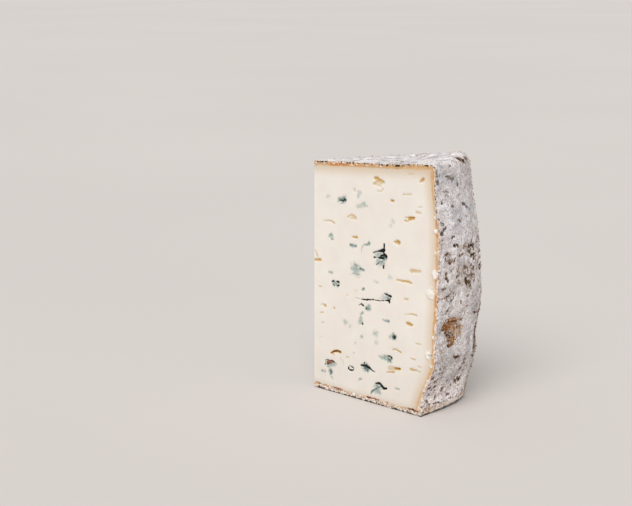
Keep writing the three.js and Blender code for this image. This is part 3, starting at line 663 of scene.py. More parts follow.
def make_mesh(name, points, quads, values, sharp=None):
    """A closed piece in the frame from points in millimetres, quads and named values of each point.

    Points that meet are merged, gaps at the ends are closed and the faces are turned outwards."""
    mesh = bpy.data.meshes.new(name)
    placed = (points + np.array([AXIS_X, AXIS_Y, 0])) * MM
    mesh.vertices.add(len(placed))
    mesh.vertices.foreach_set("co", placed.astype(np.float32).ravel())
    mesh.loops.add(quads.size)
    mesh.loops.foreach_set("vertex_index", quads.astype(np.int32).ravel())
    mesh.polygons.add(len(quads))
    mesh.polygons.foreach_set("loop_start", np.arange(0, quads.size, quads.shape[1], dtype=np.int32))
    mesh.update(calc_edges=True)
    for key, value in values.items():
        mesh.attributes.new(key, "FLOAT", "POINT").data.foreach_set("value", value.astype(np.float32).ravel())
    build = bmesh.new()
    build.from_mesh(mesh)
    bmesh.ops.remove_doubles(build, verts=build.verts, dist=MERGE_DISTANCE * MM)
    bmesh.ops.holes_fill(build, edges=[edge for edge in build.edges if edge.is_boundary], sides=0)
    bmesh.ops.recalc_face_normals(build, faces=build.faces)
    build.to_mesh(mesh)
    build.free()
    mesh.shade_smooth()
    if sharp:
        mesh.set_sharp_from_angle(angle=np.radians(sharp))
    piece = bpy.data.objects.new(name, mesh)
    bpy.context.collection.objects.link(piece)
    return piece


def within(zone, along, up):
    """Whether a place lies in a zone of the cut."""
    return zone[0] < along < zone[1] and zone[2] < up < zone[3]


def back_marks():
    """Eyes, blues and blacks of the back cut: the solid's holes, blue in the middle and warm at the crust."""
    draws = park_miller(BACK_HOLES["seed"])
    holes, eyes, blues, blacks = [], [], [], []
    while len(holes) < BACK_HOLES["count"]:
        hole = {key: lerp(*BACK_RANGES[key], next(draws)) for key in BACK_RANGES}
        hole["tall"] = min(hole["tall"], hole["wide"])
        apart = (np.hypot(other["along"] - hole["along"], other["up"] - hole["up"]) for other in holes)
        if all(distance > BACK_HOLES["spacing"] for distance in apart):
            holes.append(hole)
    for number, hole in enumerate(holes):
        lean = np.radians(hole["tilt"])
        reach = max(hole["wide"] - hole["tall"], 0.8) / 2
        du, dv = reach * np.cos(lean), reach * np.sin(lean)
        ends = (hole["along"] - du, hole["up"] - dv, hole["along"] + du, hole["up"] + dv)
        tall, deep = hole["tall"], hole["deep"]
        if not within(HOLE_ZONE, hole["along"], hole["up"]) or number % 5 == 0:
            strong = lerp(0.4, 1, number % 4 / 3)
            eyes.append(ends + (tall * 0.3, tall * 0.7, -hole["bend"], deep * 0.7, strong * 0.6, strong))
            continue
        strong = lerp(0.45, 0.8, number % 3 / 2)
        blues.append(ends + (tall * 0.7, tall, -hole["bend"], deep * 0.4, strong, strong * 0.8))
        if number % 2:
            crack = (ends[0] - du / 2, ends[1] + tall / 4, ends[2] + du / 3, ends[3] + tall / 4)
            blacks.append(crack + (0.6, tall * 0.45, 0.2, deep * 0.7, 0.7, 1.0))
            branch = (ends[0], ends[1] - tall / 2, ends[2] - du, ends[3] + tall / 4)
            blacks.append(branch + (0.7, 1.0, 0.0, deep * 0.4, 0.5, 0.8))
    return eyes, blues, blacks


def add_back_stains(eyes, blues, blacks):
    """The back cut's marks with stains and slits that are too shallow for the solid: faint blue clouds and
    threads in the middle, thin brown slits near the crust and the point."""
    draw = np.random.default_rng(73)
    for number in range(BACK_STAINS):
        along, up = draw.uniform(6, 92), draw.uniform(6, 146)
        lean, reach, bend = np.radians(draw.uniform(-25, 25)), draw.uniform(0.4, 2.6), draw.uniform(-0.8, 0.8)
        du, dv = reach * np.cos(lean), reach * np.sin(lean)
        ends = (along - du, up - dv, along + du, up + dv)
        thick, strong = draw.uniform(0.6, 1.2), draw.uniform(0.25, 0.6)
        if not within(STAIN_ZONE, along, up):
            eyes.append(ends + (thick, thick * 1.3, bend, 0.3, strong, strong * 1.3))
        elif number % 3 == 0:
            blues.append(ends + (thick * 0.9, thick * 0.6, bend, 0.3, strong + 0.25, strong + 0.1))
        else:
            blues.append(ends + (thick * 2.6, thick * 2.2, bend, 0.1, strong, strong * 0.7))
    return eyes, blues, blacks


def tuft_strokes():
    """The white tufts as strokes on the front cut, raised a little above it."""
    strokes = []
    for along, up, width, height in TUFTS:
        reach = (height - width * 0.7) / 2 if height > width * 0.75 else 0.2
        strokes.append((along, up - reach, along, up + reach, width * 0.9, width, 0.0, -0.7, 1.0, 1.0))
    return strokes


def edge_colours(turn, along, up):
    """Strength of the orange skin at the rim and at the top, and of the red-brown seam over the foot."""
    moved = BACK_EDGE_SHIFT * turn
    rim = stretch_strength((up + moved) % BACK_HEIGHT, RIM_ORANGE, RIM_FADE)
    top = stretch_strength((along + moved) % FRONT_BELLY, TOP_ORANGE, TOP_FADE)
    foot = stretch_strength((along + moved) % FRONT_BELLY, FOOT_SEAM, SEAM_FADE)
    return rim, top, foot * np.exp(-(((up - SEAM_UP) / SEAM_REACH) ** 2))


def cut_face(turn, eyes, blues, blacks, rust, whites, seed):
    """One cut face as a grid with its marks sunk into it, and the values that colour it.

    Depth pushes a point in along the cut's normal, and fades out at the border, which keeps its place."""
    inset = RIND_THICKNESS - PASTE_UNDER_RIND
    grid = slice_grid(turn, inset)
    along = np.hypot(grid[..., 0], grid[..., 1])
    up = grid[..., 2]
    seen = along + FACE_SHIFT * (1 - turn)
    eye_sunk, warm = stroke_field(seen, up, eyes, EYE_STYLE, seed)
    blue_sunk, blue = stroke_field(seen, up, blues, BLUE_STYLE, seed + 10)
    black_sunk, dark = stroke_field(seen, up, blacks, BLACK_STYLE, seed + 20)
    _, red = stroke_field(seen, up, rust, RUST_STYLE, seed + 30)
    tuft_rise, white = stroke_field(along, up, whites, TUFT_STYLE, seed + 40)
    tuft_rise = tuft_rise * (1 + 0.9 * layered_noise(grid, 1.1, 2, seed + 50))
    knife = 0.12 * (1 + field_noise(grid, 26, seed)) + 0.03 * (1 + field_noise(grid, 2.4, seed + 1))
    steps_in = np.minimum(np.arange(GRID_UP), np.arange(GRID_UP)[::-1])[:, None]
    steps_across = np.minimum(np.arange(GRID_ALONG), np.arange(GRID_ALONG)[::-1])[None, :]
    border = ease(np.minimum(steps_in, steps_across), 0, 2)
    depth = border * (np.maximum.reduce([eye_sunk, blue_sunk, black_sunk]) + knife + tuft_rise)
    side = -1 if turn < 0.5 else 1
    angle = (turn - 0.5) * WEDGE_ANGLE
    inward = -side * np.array([-np.sin(angle), np.cos(angle), 0])
    to_rim = rim_radius(turn, up) - RIND_THICKNESS - along
    reach = np.clip(along / rim_radius(turn, up), 0, 1)
    to_top = top_height(turn, reach) - RIND_THICKNESS - up
    to_bottom = up - RIND_THICKNESS
    rim_orange, top_orange, seam = edge_colours(turn, along, up)
    orange = np.maximum(rim_orange * ease(to_rim, 2.2, 0.2), top_orange * ease(to_top, 1.6, 0))
    glows = [ease(to_rim, 2.6, -0.6), 0.9 * ease(to_top, 2.4, -0.4), 0.8 * ease(to_bottom, 2.4, 0)]
    values = dict(warm=warm, blue=blue, dark=dark, red=red, white=white, orange=orange, seam=seam)
    values["near_rim"] = ease(to_rim, CREAM_WIDTH, 0)
    values["near_top"] = ease(to_top, CREAM_WIDTH, 0)
    values["near_foot"] = ease(to_bottom, CREAM_WIDTH * 0.6, 0)
    values["skin_glow"] = np.maximum.reduce(glows)
    return grid + depth[..., None] * inward, values


def border_of(grid):
    """The grid's border as one closed loop of points."""
    return np.concatenate([grid[0], grid[1:, -1], grid[-1, -2::-1], grid[-2::-1, 0]])


def make_paste():
    """The paste: two cut faces, joined round their borders by strips that lie hidden under the crust."""
    eyes = with_depth(FRONT_EYES, eye_depth)
    blues = with_depth(FRONT_BLUES, pocket_depth)
    blacks = with_depth(FRONT_BLACKS + TUFT_SLITS, crack_depth)
    rust = with_depth(FRONT_RUST, pocket_depth)
    front, front_values = cut_face(0.0, eyes, blues, blacks, rust, tuft_strokes(), 3)
    back, back_values = cut_face(1.0, *add_back_stains(*back_marks()), [], [], 141)
    inset = RIND_THICKNESS - PASTE_UNDER_RIND
    between = [0.03, 0.12, 0.3, 0.5, 0.7, 0.88, 0.97]
    deeper = [inset + 2.2 * float(ease(min(t, 1 - t), 0, 0.1)) for t in between]
    slices = [slice_grid(t, d) for t, d in zip(between, deeper)]
    strip = np.stack([border_of(grid) for grid in (front, *slices, back)])
    count = GRID_UP * GRID_ALONG
    points = np.concatenate([front.reshape(-1, 3), back.reshape(-1, 3), strip.reshape(-1, 3)])
    quads = [
        grid_faces(GRID_UP, GRID_ALONG),
        grid_faces(GRID_UP, GRID_ALONG, count, flipped=True),
        grid_faces(*strip.shape[:2], 2 * count),
    ]
    values = {}
    for key in front_values:
        edges = [border_of(front_values[key])] * (len(between) + 1) + [border_of(back_values[key])]
        shown = front_values[key], back_values[key], np.stack(edges)
        values[key] = np.concatenate([part.ravel() for part in shown])
    return make_mesh("cheese_paste", points, np.concatenate(quads), values, PASTE_EDGE_ANGLE)


def rind_detail(turns, points, relief, slope):
    """Fine relief of the crust and the values that colour it.

    Lumps and grains are rounded noise, creases run where noise is near zero, and specks sink in where
    noise peaks, in some regions and crowds more than elsewhere. The pits, rubbed patches and bloom of the
    tables are laid over that. Bloom also lies on what stands out."""
    arc = turns * WEDGE_ANGLE * FRONT_BELLY
    up = points[..., 2]
    on_rim = ease(np.cos(slope), 0, 0.4) * (slope > -0.1)
    calm = lerp(0.9, 0.45, ease(up, 90, 124))
    lumps = layered_noise(points, LUMP_CELL, 3, 5)
    creases = ease(np.abs(layered_noise(points, CREASE_CELL, 2, 7)), 0.16, 0.0)
    grains = layered_noise(points, GRAIN_CELL, 2, 9)
    region = layered_noise(points, REGION_CELL, 2, 15)
    speck = layered_noise(points, SPECK_CELL, 2, 21)
    crowd = flat_strength(arc, up, PIT_CROWDS, CROWD_STYLE, 81)
    scattered = ease(speck + 0.3 * region + 0.75 * crowd * on_rim, 0.66, 1.06)
    broken = np.clip(1 + 0.5 * layered_noise(points, 2.6, 2, 31), 0.35, 1.4)
    pits = with_depth(RIND_PITS, lambda width, strong: PIT_DEPTH * strong)
    pit_depth, pit = stroke_field(arc, up, pits, PIT_STYLE, 51)
    pit_depth, pit = pit_depth * broken, pit * broken
    rubbed = with_depth(RIND_BARE, lambda width, strong: BARE_DEPTH * strong)
    bare_depth, bare = stroke_field(arc, up, rubbed, BARE_STYLE, 61)
    clouds = with_depth(RIND_BLOOM, lambda width, strong: -BLOOM_HEIGHT * strong)
    bloom_depth, bloom = stroke_field(arc, up, clouds, BLOOM_STYLE, 71)
    grey = flat_strength(arc, up, RIND_GREY, CLOUD_STYLE, 101)
    beige = flat_strength(arc, up, RIND_BEIGE, CLOUD_STYLE, 111)
    rough = (LUMP_HEIGHT * lumps + GRAIN_HEIGHT * grains) * (1 - 0.7 * np.clip(1.4 * bare, 0, 1))
    pit, bare, bloom = pit * on_rim, bare * on_rim, bloom * on_rim
    fine = calm * (rough - CREASE_DEPTH * creases - SPECK_DEPTH * scattered)
    lip = ease(up, LIP_TOP, 3.4) * ease(up, 0.0, 1.2) * on_rim
    fine = fine + lip * (LIP_HEIGHT + LIP_LUMPS * layered_noise(points, 3.6, 3, 27))
    fine = fine - pit_depth * on_rim - bare_depth * on_rim - bloom_depth * on_rim
    values = dict(bare=bare, grey=grey * on_rim, beige=beige * on_rim)
    values["pit"] = np.maximum(pit, (0.62 + 0.3 * crowd) * scattered)
    values["bloom"] = np.clip(bloom + 0.5 * ease(lumps, 0.3, 1.2), 0, 1)
    # painted shade: darker in the creases and in the low spots between lumps
    values["hollow"] = np.clip(0.7 * creases + ease(lumps + 0.5 * grains, -0.5, -1.5), 0, 1)
    return relief * fine, values


def raw_edge(outer, inner, turn, outward, whites):
    """The crust's cut edge at one side, rows by BAND_ROWS, from its outer skin to the paste.

    It is lumpy, stands a little proud of the cut, and dips under the paste's surface at its inner side."""
    share = np.linspace(0, 1, BAND_ROWS)[None, :]
    band = lerp(outer[:, None], inner[:, None], share[..., None])
    rise = 0.2 + 0.26 * field_noise(band, 2.4, 33) + 0.34 * field_noise(band, 1.1, 35)
    shape = np.sin(np.pi * np.clip(share * 1.15, 0, 1)) ** 0.7
    lift = np.clip(rise, 0.02, 0.8) * shape - 0.35 * ease(share, 0.8, 1)
    lift = np.where((share > 0) & (share < 1), lift, 0)
    along, up = np.hypot(band[..., 0], band[..., 1]), band[..., 2]
    _, white = stroke_field(along, up, whites, RAW_TUFT_STYLE, 43)
    rim_orange, top_orange, seam = edge_colours(turn, along, up)
    on_top = ease(np.arange(len(outer)), CORNER_ROW - 3, CORNER_ROW + 3)[:, None]
    dots = on_top * stretch_strength((along + BACK_EDGE_SHIFT * turn) % FRONT_BELLY, TOP_DOTS, 0.35)
    values = dict(seam=seam, white=white, orange=lerp(rim_orange, top_orange, on_top))
    values["dots"] = dots * ease(share, 0.7, 0.35)
    values["raw"] = 0.1 + 0.9 * share + 0 * lift
    values["raw_top"] = on_top + 0 * lift
    values["raw_foot"] = ease(up, 7, 3)
    return band + lift[..., None] * outward, values


def make_rind():
    """The crust: a closed sheet over bottom, rim and top, thick at both cuts, where its raw edge shows."""
    turn = np.linspace(0, 1, TURN_POINTS)
    radius, z, slope, relief = skin_path(turn, 0.0)
    turns = np.broadcast_to(turn[None, :], radius.shape)
    fine, values = rind_detail(turns, in_space(turns, radius, z), relief, slope)
    outer = skin_points(turn, 0.0, fine)
    rows = outer.shape[0]
    lining_turn = np.linspace(0, 1, LINING_POINTS)
    lining = skin_points(lining_turn, RIND_THICKNESS)
    uneven = 0.24 * layered_noise(lining, 5, 2, 91) + 0.24 * field_noise(lining, 1.3, 93)
    lining = lining + uneven[..., None] * (lining - skin_points(lining_turn))
    values["foot"] = ease(outer[..., 2], 6.5, 4) * (slope < 0.1)
    nothing = np.zeros(rows * LINING_POINTS)
    points = [outer.reshape(-1, 3), lining.reshape(-1, 3)]
    quads = [grid_faces(rows, TURN_POINTS)]
    quads.append(grid_faces(rows, LINING_POINTS, rows * TURN_POINTS, flipped=True))
    shown = {key: [value.ravel(), nothing] for key, value in values.items()}
    for key in ("raw", "raw_top", "raw_foot", "orange", "dots", "seam", "white"):
        shown[key] = [np.zeros(rows * TURN_POINTS), nothing + (key == "raw")]
    for side, column, whites in ((-1, 0, tuft_strokes()), (1, -1, [])):
        outward = side * np.array([-np.sin(side * HALF_ANGLE), np.cos(HALF_ANGLE), 0])
        band, edge_values = raw_edge(outer[:, column], lining[:, column], turn[column], outward, whites)
        first = sum(len(part) for part in points)
        points.append(band.reshape(-1, 3))
        quads.append(grid_faces(rows, BAND_ROWS, first, flipped=column == 0))
        for key in values:
            shown[key].append(np.repeat(values[key][:, column], BAND_ROWS))
        for key in edge_values:
            shown[key].append(edge_values[key].ravel())
    shown = {key: np.concatenate(parts) for key, parts in shown.items()}
    return make_mesh("mould_rind", np.concatenate(points), np.concatenate(quads), shown, RIND_EDGE_ANGLE)


def lump_shape():
    """Points and triangles of a ball with 42 corners, the form that every crumb starts from."""
    ball = bmesh.new()
    bmesh.ops.create_icosphere(ball, subdivisions=2, radius=1.0)
    points = np.array([vertex.co[:] for vertex in ball.verts])
    triangles = np.array([[vertex.index for vertex in face.verts] for face in ball.faces])
    ball.free()
    return points, triangles


def make_lumps(name, centres, sizes, spins, paleness, seed):
    """Crumbs as one piece: each is the ball, squeezed to its three sizes, roughened by noise and turned."""
    ball, triangles = lump_shape()
    count = len(centres)
    own = ball[None] + np.arange(count)[:, None, None] * 7.7
    rough = 1 + 0.45 * field_noise(own * 1.5, 1.0, seed) + 0.2 * field_noise(own * 3.1, 1.0, seed + 1)
    shaped = ball[None] * sizes[:, None, :] * rough[..., None]
    cos, sin = np.cos(spins)[:, None], np.sin(spins)[:, None]
    x, y, z = np.moveaxis(shaped, -1, 0)
    turned = np.stack([x * cos - y * sin, x * sin + y * cos, z], axis=-1)
    points = (turned + centres[:, None, :]).reshape(-1, 3)
    faces = (triangles[None] + (np.arange(count) * len(ball))[:, None, None]).reshape(-1, 3)
    return make_mesh(name, points, faces, {"pale": np.repeat(paleness, len(ball))})


def make_crumbs():
    """Loose crust and bloom: scattered over the rim, along both cut edges and thickly along the foot."""
    draw = np.random.default_rng(58)
    surface = skin_points(np.linspace(0, 1, CRUMB_TURNS))
    last_row, last_column = surface.shape[0] - 1, CRUMB_TURNS - 1
    shoulder = FOOT_ROW + RIM_POINTS
    # how many, first and last row, at the cuts alone, paleness from and to, spread of sizes, lift from
    # and to, and how much of the paleness is left at the back cut
    spots = [
        (CRUMBS_ON_RIM, FOOT_ROW + 2, shoulder, False, 0.15, 0.7, 0.4, 0.0, 0.0, 1.0),
        (CRUMBS_ON_EDGES, FOOT_ROW, last_row - 8, True, 0.2, 1.0, 0.4, 0.0, 0.0, 0.5),
        (CRUMBS_ON_FOOT, BOTTOM_POINTS // 20, FOOT_ROW + 3, True, 0.15, 1.0, 0.6, 0.7, 2.6, 1.0),
        (CRUMBS_ON_LIP, FOOT_ROW - 2, FOOT_ROW + 6, False, 0.1, 0.9, 0.5, 0.8, 2.4, 1.0),
    ]
    centres, sizes, paleness = [], [], []
    for count, first, last, edges, darkest, palest, spread, low, high, far in spots:
        row = draw.integers(first, last, count)
        column = draw.integers(0, 2, count) * last_column if edges else draw.integers(1, last_column, count)
        lift = draw.uniform(low, high, count) if high else np.zeros(count)
        centres.append(surface[row, column] + lift[:, None] * np.array([0, 0, 1]))
        size = 0.16 + spread * draw.random(count) ** 2.5
        sizes.append(size[:, None] * draw.uniform(0.5, 1.4, (count, 3)))
        paleness.append(draw.uniform(darkest, palest, count) * np.where(column == last_column, far, 1.0))
    centres, sizes, paleness = np.concatenate(centres), np.concatenate(sizes), np.concatenate(paleness)
    # painted shade: crumbs that lie low, near the floor, are darkened
    paleness = paleness * ease(centres[:, 2], 0.5, 1.3)
    centres[:, 2] = np.maximum(centres[:, 2], sizes[:, 2])
    return make_lumps("crust_crumbs", centres, sizes, draw.uniform(0, 6.28, len(centres)), paleness, 77)


def make_tufts():
    """White tufts on the front cut: each a heap of small lumps that lie on the paste against the crust."""
    draw = np.random.default_rng(19)
    table = np.repeat(np.array(TUFTS), LUMPS_PER_TUFT, axis=0)
    count = len(table)
    outward = np.array([np.sin(-HALF_ANGLE), -np.cos(-HALF_ANGLE), 0])
    direction = np.array([np.cos(-HALF_ANGLE), np.sin(-HALF_ANGLE), 0])
    spread = draw.random(count)[:, None] ** 0.7 * 0.5
    way = draw.uniform(0, 2 * np.pi, count)[:, None]
    along = table[:, :1] + spread * table[:, 2:3] * np.cos(way)
    up = table[:, 1:2] + spread * table[:, 3:4] * np.sin(way)
    out = 0.3 * (1 - 2 * spread)
    centres = along * direction + up * np.array([0, 0, 1]) + out * outward
    sizes = draw.uniform(0.14, 0.36, (count, 1)) * draw.uniform(0.6, 1.3, (count, 3))
    return make_lumps("white_tufts", centres, sizes, way[:, 0], draw.uniform(0.6, 1.0, count), 83)


# ---------------------------------------------------------------- shader helpers
def tone(red, green, blue):
    """An sRGB colour in bytes as linear light with alpha."""
    linear = [c / 255 / 12.92 if c <= 10 else ((c / 255 + 0.055) / 1.055) ** 2.4 for c in (red, green, blue)]
    return (*linear, 1.0)


def add_node(tree, kind, settings=None, inputs=None, **named):
    """A shader node with its settings, and each input, by number or name, set or linked from a socket."""
    made = tree.nodes.new("ShaderNode" + kind)
    for key, value in (settings or {}).items():
        setattr(made, key, value)
    for key, value in {**(inputs or {}), **named}.items():
        socket = made.inputs[key.replace("_", " ") if isinstance(key, str) else key]
        if isinstance(value, bpy.types.NodeSocket):
            tree.links.new(value, socket)
        else:
            socket.default_value = value
    return made


def maths(operation, first, *others):
    """One step of arithmetic on a socket and further sockets or numbers."""
    inputs = dict(enumerate((first, *others)))
    return add_node(first.id_data, "Math", {"operation": operation}, inputs).outputs[0]


def product(first, *others):
    """A socket multiplied by each of the further sockets or numbers."""
    for other in others:
        first = maths("MULTIPLY", first, other)
    return first


def shifted(value, noise, amount):
    """A value moved up and down by a noise around 0."""
    return maths("MULTIPLY_ADD", noise, amount, value)


def frayed(value, noise, amount):
    """A value broken up by a noise around 0, which leaves 0 as it is."""
    return shifted(value, product(value, noise), amount)


def remap(value, start, end, low=0.0, high=1.0):
    """A smooth step of a socket from start to end, scaled to low and high."""
    settings = {"interpolation_type": "SMOOTHSTEP"}
    limits = {"From_Min": start, "From_Max": end, "To_Min": low, "To_Max": high}
    return add_node(value.id_data, "MapRange", settings, Value=value, **limits).outputs["Result"]


def blend(share, first, second):
    """Colour `first` turning into colour `second` as share goes from 0 to 1."""
    return add_node(share.id_data, "Mix", {"data_type": "RGBA"}, {0: share, 6: first, 7: second}).outputs[2]


def layered(colour, *layers):
    """A colour under layers: each a share of 0 to 1 and a colour, which is a socket or an sRGB tuple."""
    for share, over in layers:
        colour = blend(share, colour, tone(*over) if isinstance(over, tuple) else over)
    return colour


def lit(colour, amount):
    """A colour made darker or brighter: multiplied by a value around 1."""
    settings = {"data_type": "RGBA", "blend_type": "MULTIPLY"}
    return add_node(colour.id_data, "Mix", settings, {0: 1.0, 6: colour, 7: amount}).outputs[2]


def ramp(value, *stops):
    """Colour by value, from stops of place, red, green and blue."""
    made = add_node(value.id_data, "ValToRGB", Fac=value)
    elements = made.color_ramp.elements
    while len(elements) < len(stops):
        elements.new(0.5)
    for element, (place, *colour) in zip(elements, stops):
        element.position = place
        element.color = tone(*colour)
    return made.outputs["Color"]


def attribute(tree, name):
    """A point's value by name."""
    return add_node(tree, "Attribute", {"attribute_name": name}).outputs["Fac"]


def height_over_floor(tree):
    """Height over the floor in metres: every piece's origin lies on the floor."""
    place = add_node(tree, "TexCoord").outputs["Object"]
    return add_node(tree, "SeparateXYZ", Vector=place).outputs["Z"]


def make_group(name, inputs, outputs):
    """A shader node group with float inputs and named outputs."""
    group = bpy.data.node_groups.new(name, "ShaderNodeTree")
    for key, value in inputs.items():
        group.interface.new_socket(key, in_out="INPUT", socket_type="NodeSocketFloat").default_value = value
    for key in outputs:
        group.interface.new_socket(key, in_out="OUTPUT", socket_type="NodeSocketFloat")
    return group, group.nodes.new("NodeGroupInput").outputs, group.nodes.new("NodeGroupOutput").inputs


def mottle_group():
    """Patches and specks: soft noise, and the same noise cut to a mask by a threshold and a width."""
    defaults = {"Scale": 100.0, "Detail": 4.0, "Threshold": 0.5, "Width": 0.1, "Stretch": 1.0}
    group, given, result = make_group("mottle", defaults, ["Soft", "Mask"])
    place = add_node(group, "TexCoord").outputs["Object"]
    parts = add_node(group, "SeparateXYZ", Vector=place).outputs
    tall = maths("DIVIDE", parts["Z"], given["Stretch"])
    squeezed = add_node(group, "CombineXYZ", X=parts["X"], Y=parts["Y"], Z=tall).outputs[0]
    fineness = {"Scale": given["Scale"], "Detail": given["Detail"], "Roughness": 0.62}
    noise = add_node(group, "TexNoise", Vector=squeezed, **fineness).outputs["Fac"]
    low = maths("SUBTRACT", given["Threshold"], given["Width"])
    high = maths("ADD", given["Threshold"], given["Width"])
    group.links.new(noise, result["Soft"])
    group.links.new(remap(noise, low, high), result["Mask"])
    return group


def crumb_group():
    """Height of a crumbly surface: noise of several layers, with small sunken pores."""
    group, given, result = make_group("crumb_grain", {"Scale": 300.0, "Pores": 0.5}, ["Height"])
    place = add_node(group, "TexCoord").outputs["Object"]
    coarse = add_node(group, "TexNoise", Vector=place, Scale=given["Scale"], Detail=5.0, Roughness=0.65)
    cells = add_node(group, "TexVoronoi", Vector=place, Scale=product(given["Scale"], 1.7))
    sunk = product(remap(cells.outputs["Distance"], 0.22, 0.0), given["Pores"])
    group.links.new(maths("SUBTRACT", coarse.outputs["Fac"], sunk), result["Height"])
    return group


MOTTLE = mottle_group()
CRUMB = crumb_group()


def mottle(tree, scale, detail, stretch=1.0, **cut):
    """One use of the mottle group: its soft noise, or its mask if Threshold and Width are given."""
    inputs = {"Scale": scale, "Detail": detail, "Stretch": stretch, **cut}
    return add_node(tree, "Group", {"node_tree": MOTTLE}, inputs).outputs["Mask" if cut else "Soft"]


def grit(tree, scale, detail):
    """The mottle's soft noise moved down, so that it swings around 0."""
    return maths("SUBTRACT", mottle(tree, scale, detail), 0.5)


def new_material(name, roughness, scatter, radius):
    """A material, and its nodes, with one Principled shader: matt, with a little light carried inside."""
    material = bpy.data.materials.new(name)
    material.use_nodes = True
    inputs = material.node_tree.nodes["Principled BSDF"].inputs
    inputs["Roughness"].default_value = roughness
    inputs["Specular IOR Level"].default_value = 0.3
    inputs["Subsurface Weight"].default_value = scatter
    inputs["Subsurface Radius"].default_value = (1.0, 0.62, 0.36)
    inputs["Subsurface Scale"].default_value = radius
    return material, material.node_tree


def coloured(material, colour, strength=0.0, height=0.0, **grain):
    """The material with its colour and, if a grain is given, a bump from the crumb group.

    Height is the bump's, in metres. The grain is the group's Scale and Pores."""
    tree = material.node_tree
    inputs = tree.nodes["Principled BSDF"].inputs
    tree.links.new(colour, inputs["Base Color"])
    if grain:
        raised = add_node(tree, "Group", {"node_tree": CRUMB}, grain).outputs["Height"]
        bump = add_node(tree, "Bump", Strength=strength, Distance=height, Height=raised)
        tree.links.new(bump.outputs["Normal"], inputs["Normal"])
    return material


# ---------------------------------------------------------------- materials
def with_seam(tree, colour, noise):
    """The colour with the red-brown seam of the foot on it, broken up by a noise around 0."""
    seam = frayed(attribute(tree, "seam"), noise, 3.0)
    red_brown = ramp(seam, (0.2, 206, 162, 132), (0.6, 166, 104, 78), (1.0, 70, 40, 30))
    return blend(remap(seam, 0.12, 0.7), colour, red_brown)


def paste_material():
    """Ivory paste: creamier by the crust, holes brown inside with painted glow and painted shade, and mould
    from grey-green to black.
    """
    material, tree = new_material("ivory paste", 0.55, 0.2, 1.6 * MM)
    fine, coarse = grit(tree, 900.0, 3.0), grit(tree, 260.0, 2.0)
    glow = shifted(attribute(tree, "skin_glow"), coarse, 0.6)
    orange = frayed(attribute(tree, "orange"), coarse, 2.4)
    colour = layered(
        ramp(mottle(tree, 55.0, 2.0), (0.3, 238, 232, 223), (0.7, 234, 226, 217)),
        (product(attribute(tree, "near_rim"), 0.8), (218, 196, 168)),
        (product(attribute(tree, "near_top"), 0.8), (212, 191, 164)),
        (product(attribute(tree, "near_foot"), 0.5), (208, 190, 168)),
        (remap(glow, 0.1, 1.0, 0.0, 0.9), (216, 174, 122)),
        (remap(orange, 0.15, 1.1, 0.0, 0.95), (206, 136, 70)),
    )
    # painted glow and painted shade: the warm brown inside the holes
    warm = frayed(attribute(tree, "warm"), fine, 0.7)
    honey = ramp(
        warm,
        (0.1, 226, 213, 190), (0.36, 214, 192, 158), (0.62, 206, 167, 102),
        (0.85, 192, 138, 68), (1.0, 120, 84, 42),
    )
    blue = frayed(attribute(tree, "blue"), fine, 1.6)
    teal = ramp(
        blue,
        (0.06, 214, 209, 199), (0.22, 205, 203, 195), (0.38, 190, 197, 189),
        (0.6, 146, 161, 156), (0.8, 98, 114, 112), (1.0, 52, 66, 67),
    )
    threads = mottle(tree, 1100.0, 2.0, Threshold=0.6, Width=0.05)
    dark = frayed(attribute(tree, "dark"), fine, 0.8)
    black = ramp(dark, (0.25, 96, 106, 103), (0.5, 36, 44, 42), (0.8, 4, 8, 7))
    white = shifted(attribute(tree, "white"), fine, 0.6)
    colour = layered(
        with_seam(tree, colour, coarse),
        (remap(warm, 0.04, 0.36), honey),
        (remap(blue, 0.02, 0.36), teal),
        (product(threads, remap(blue, 0.38, 0.8, 0.0, 0.75)), (56, 70, 72)),
        (remap(dark, 0.08, 0.45), black),
        (remap(attribute(tree, "red"), 0.2, 0.7), (148, 98, 72)),
        (remap(white, 0.15, 0.75), (241, 236, 228)),
    )
    # painted shade: the paste darkens towards the floor
    colour = lit(colour, remap(height_over_floor(tree), 0.0, 70 * MM, 0.93, 1.0))
    return coloured(material, colour, strength=0.22, height=0.25 * MM, Scale=420.0, Pores=0.5)


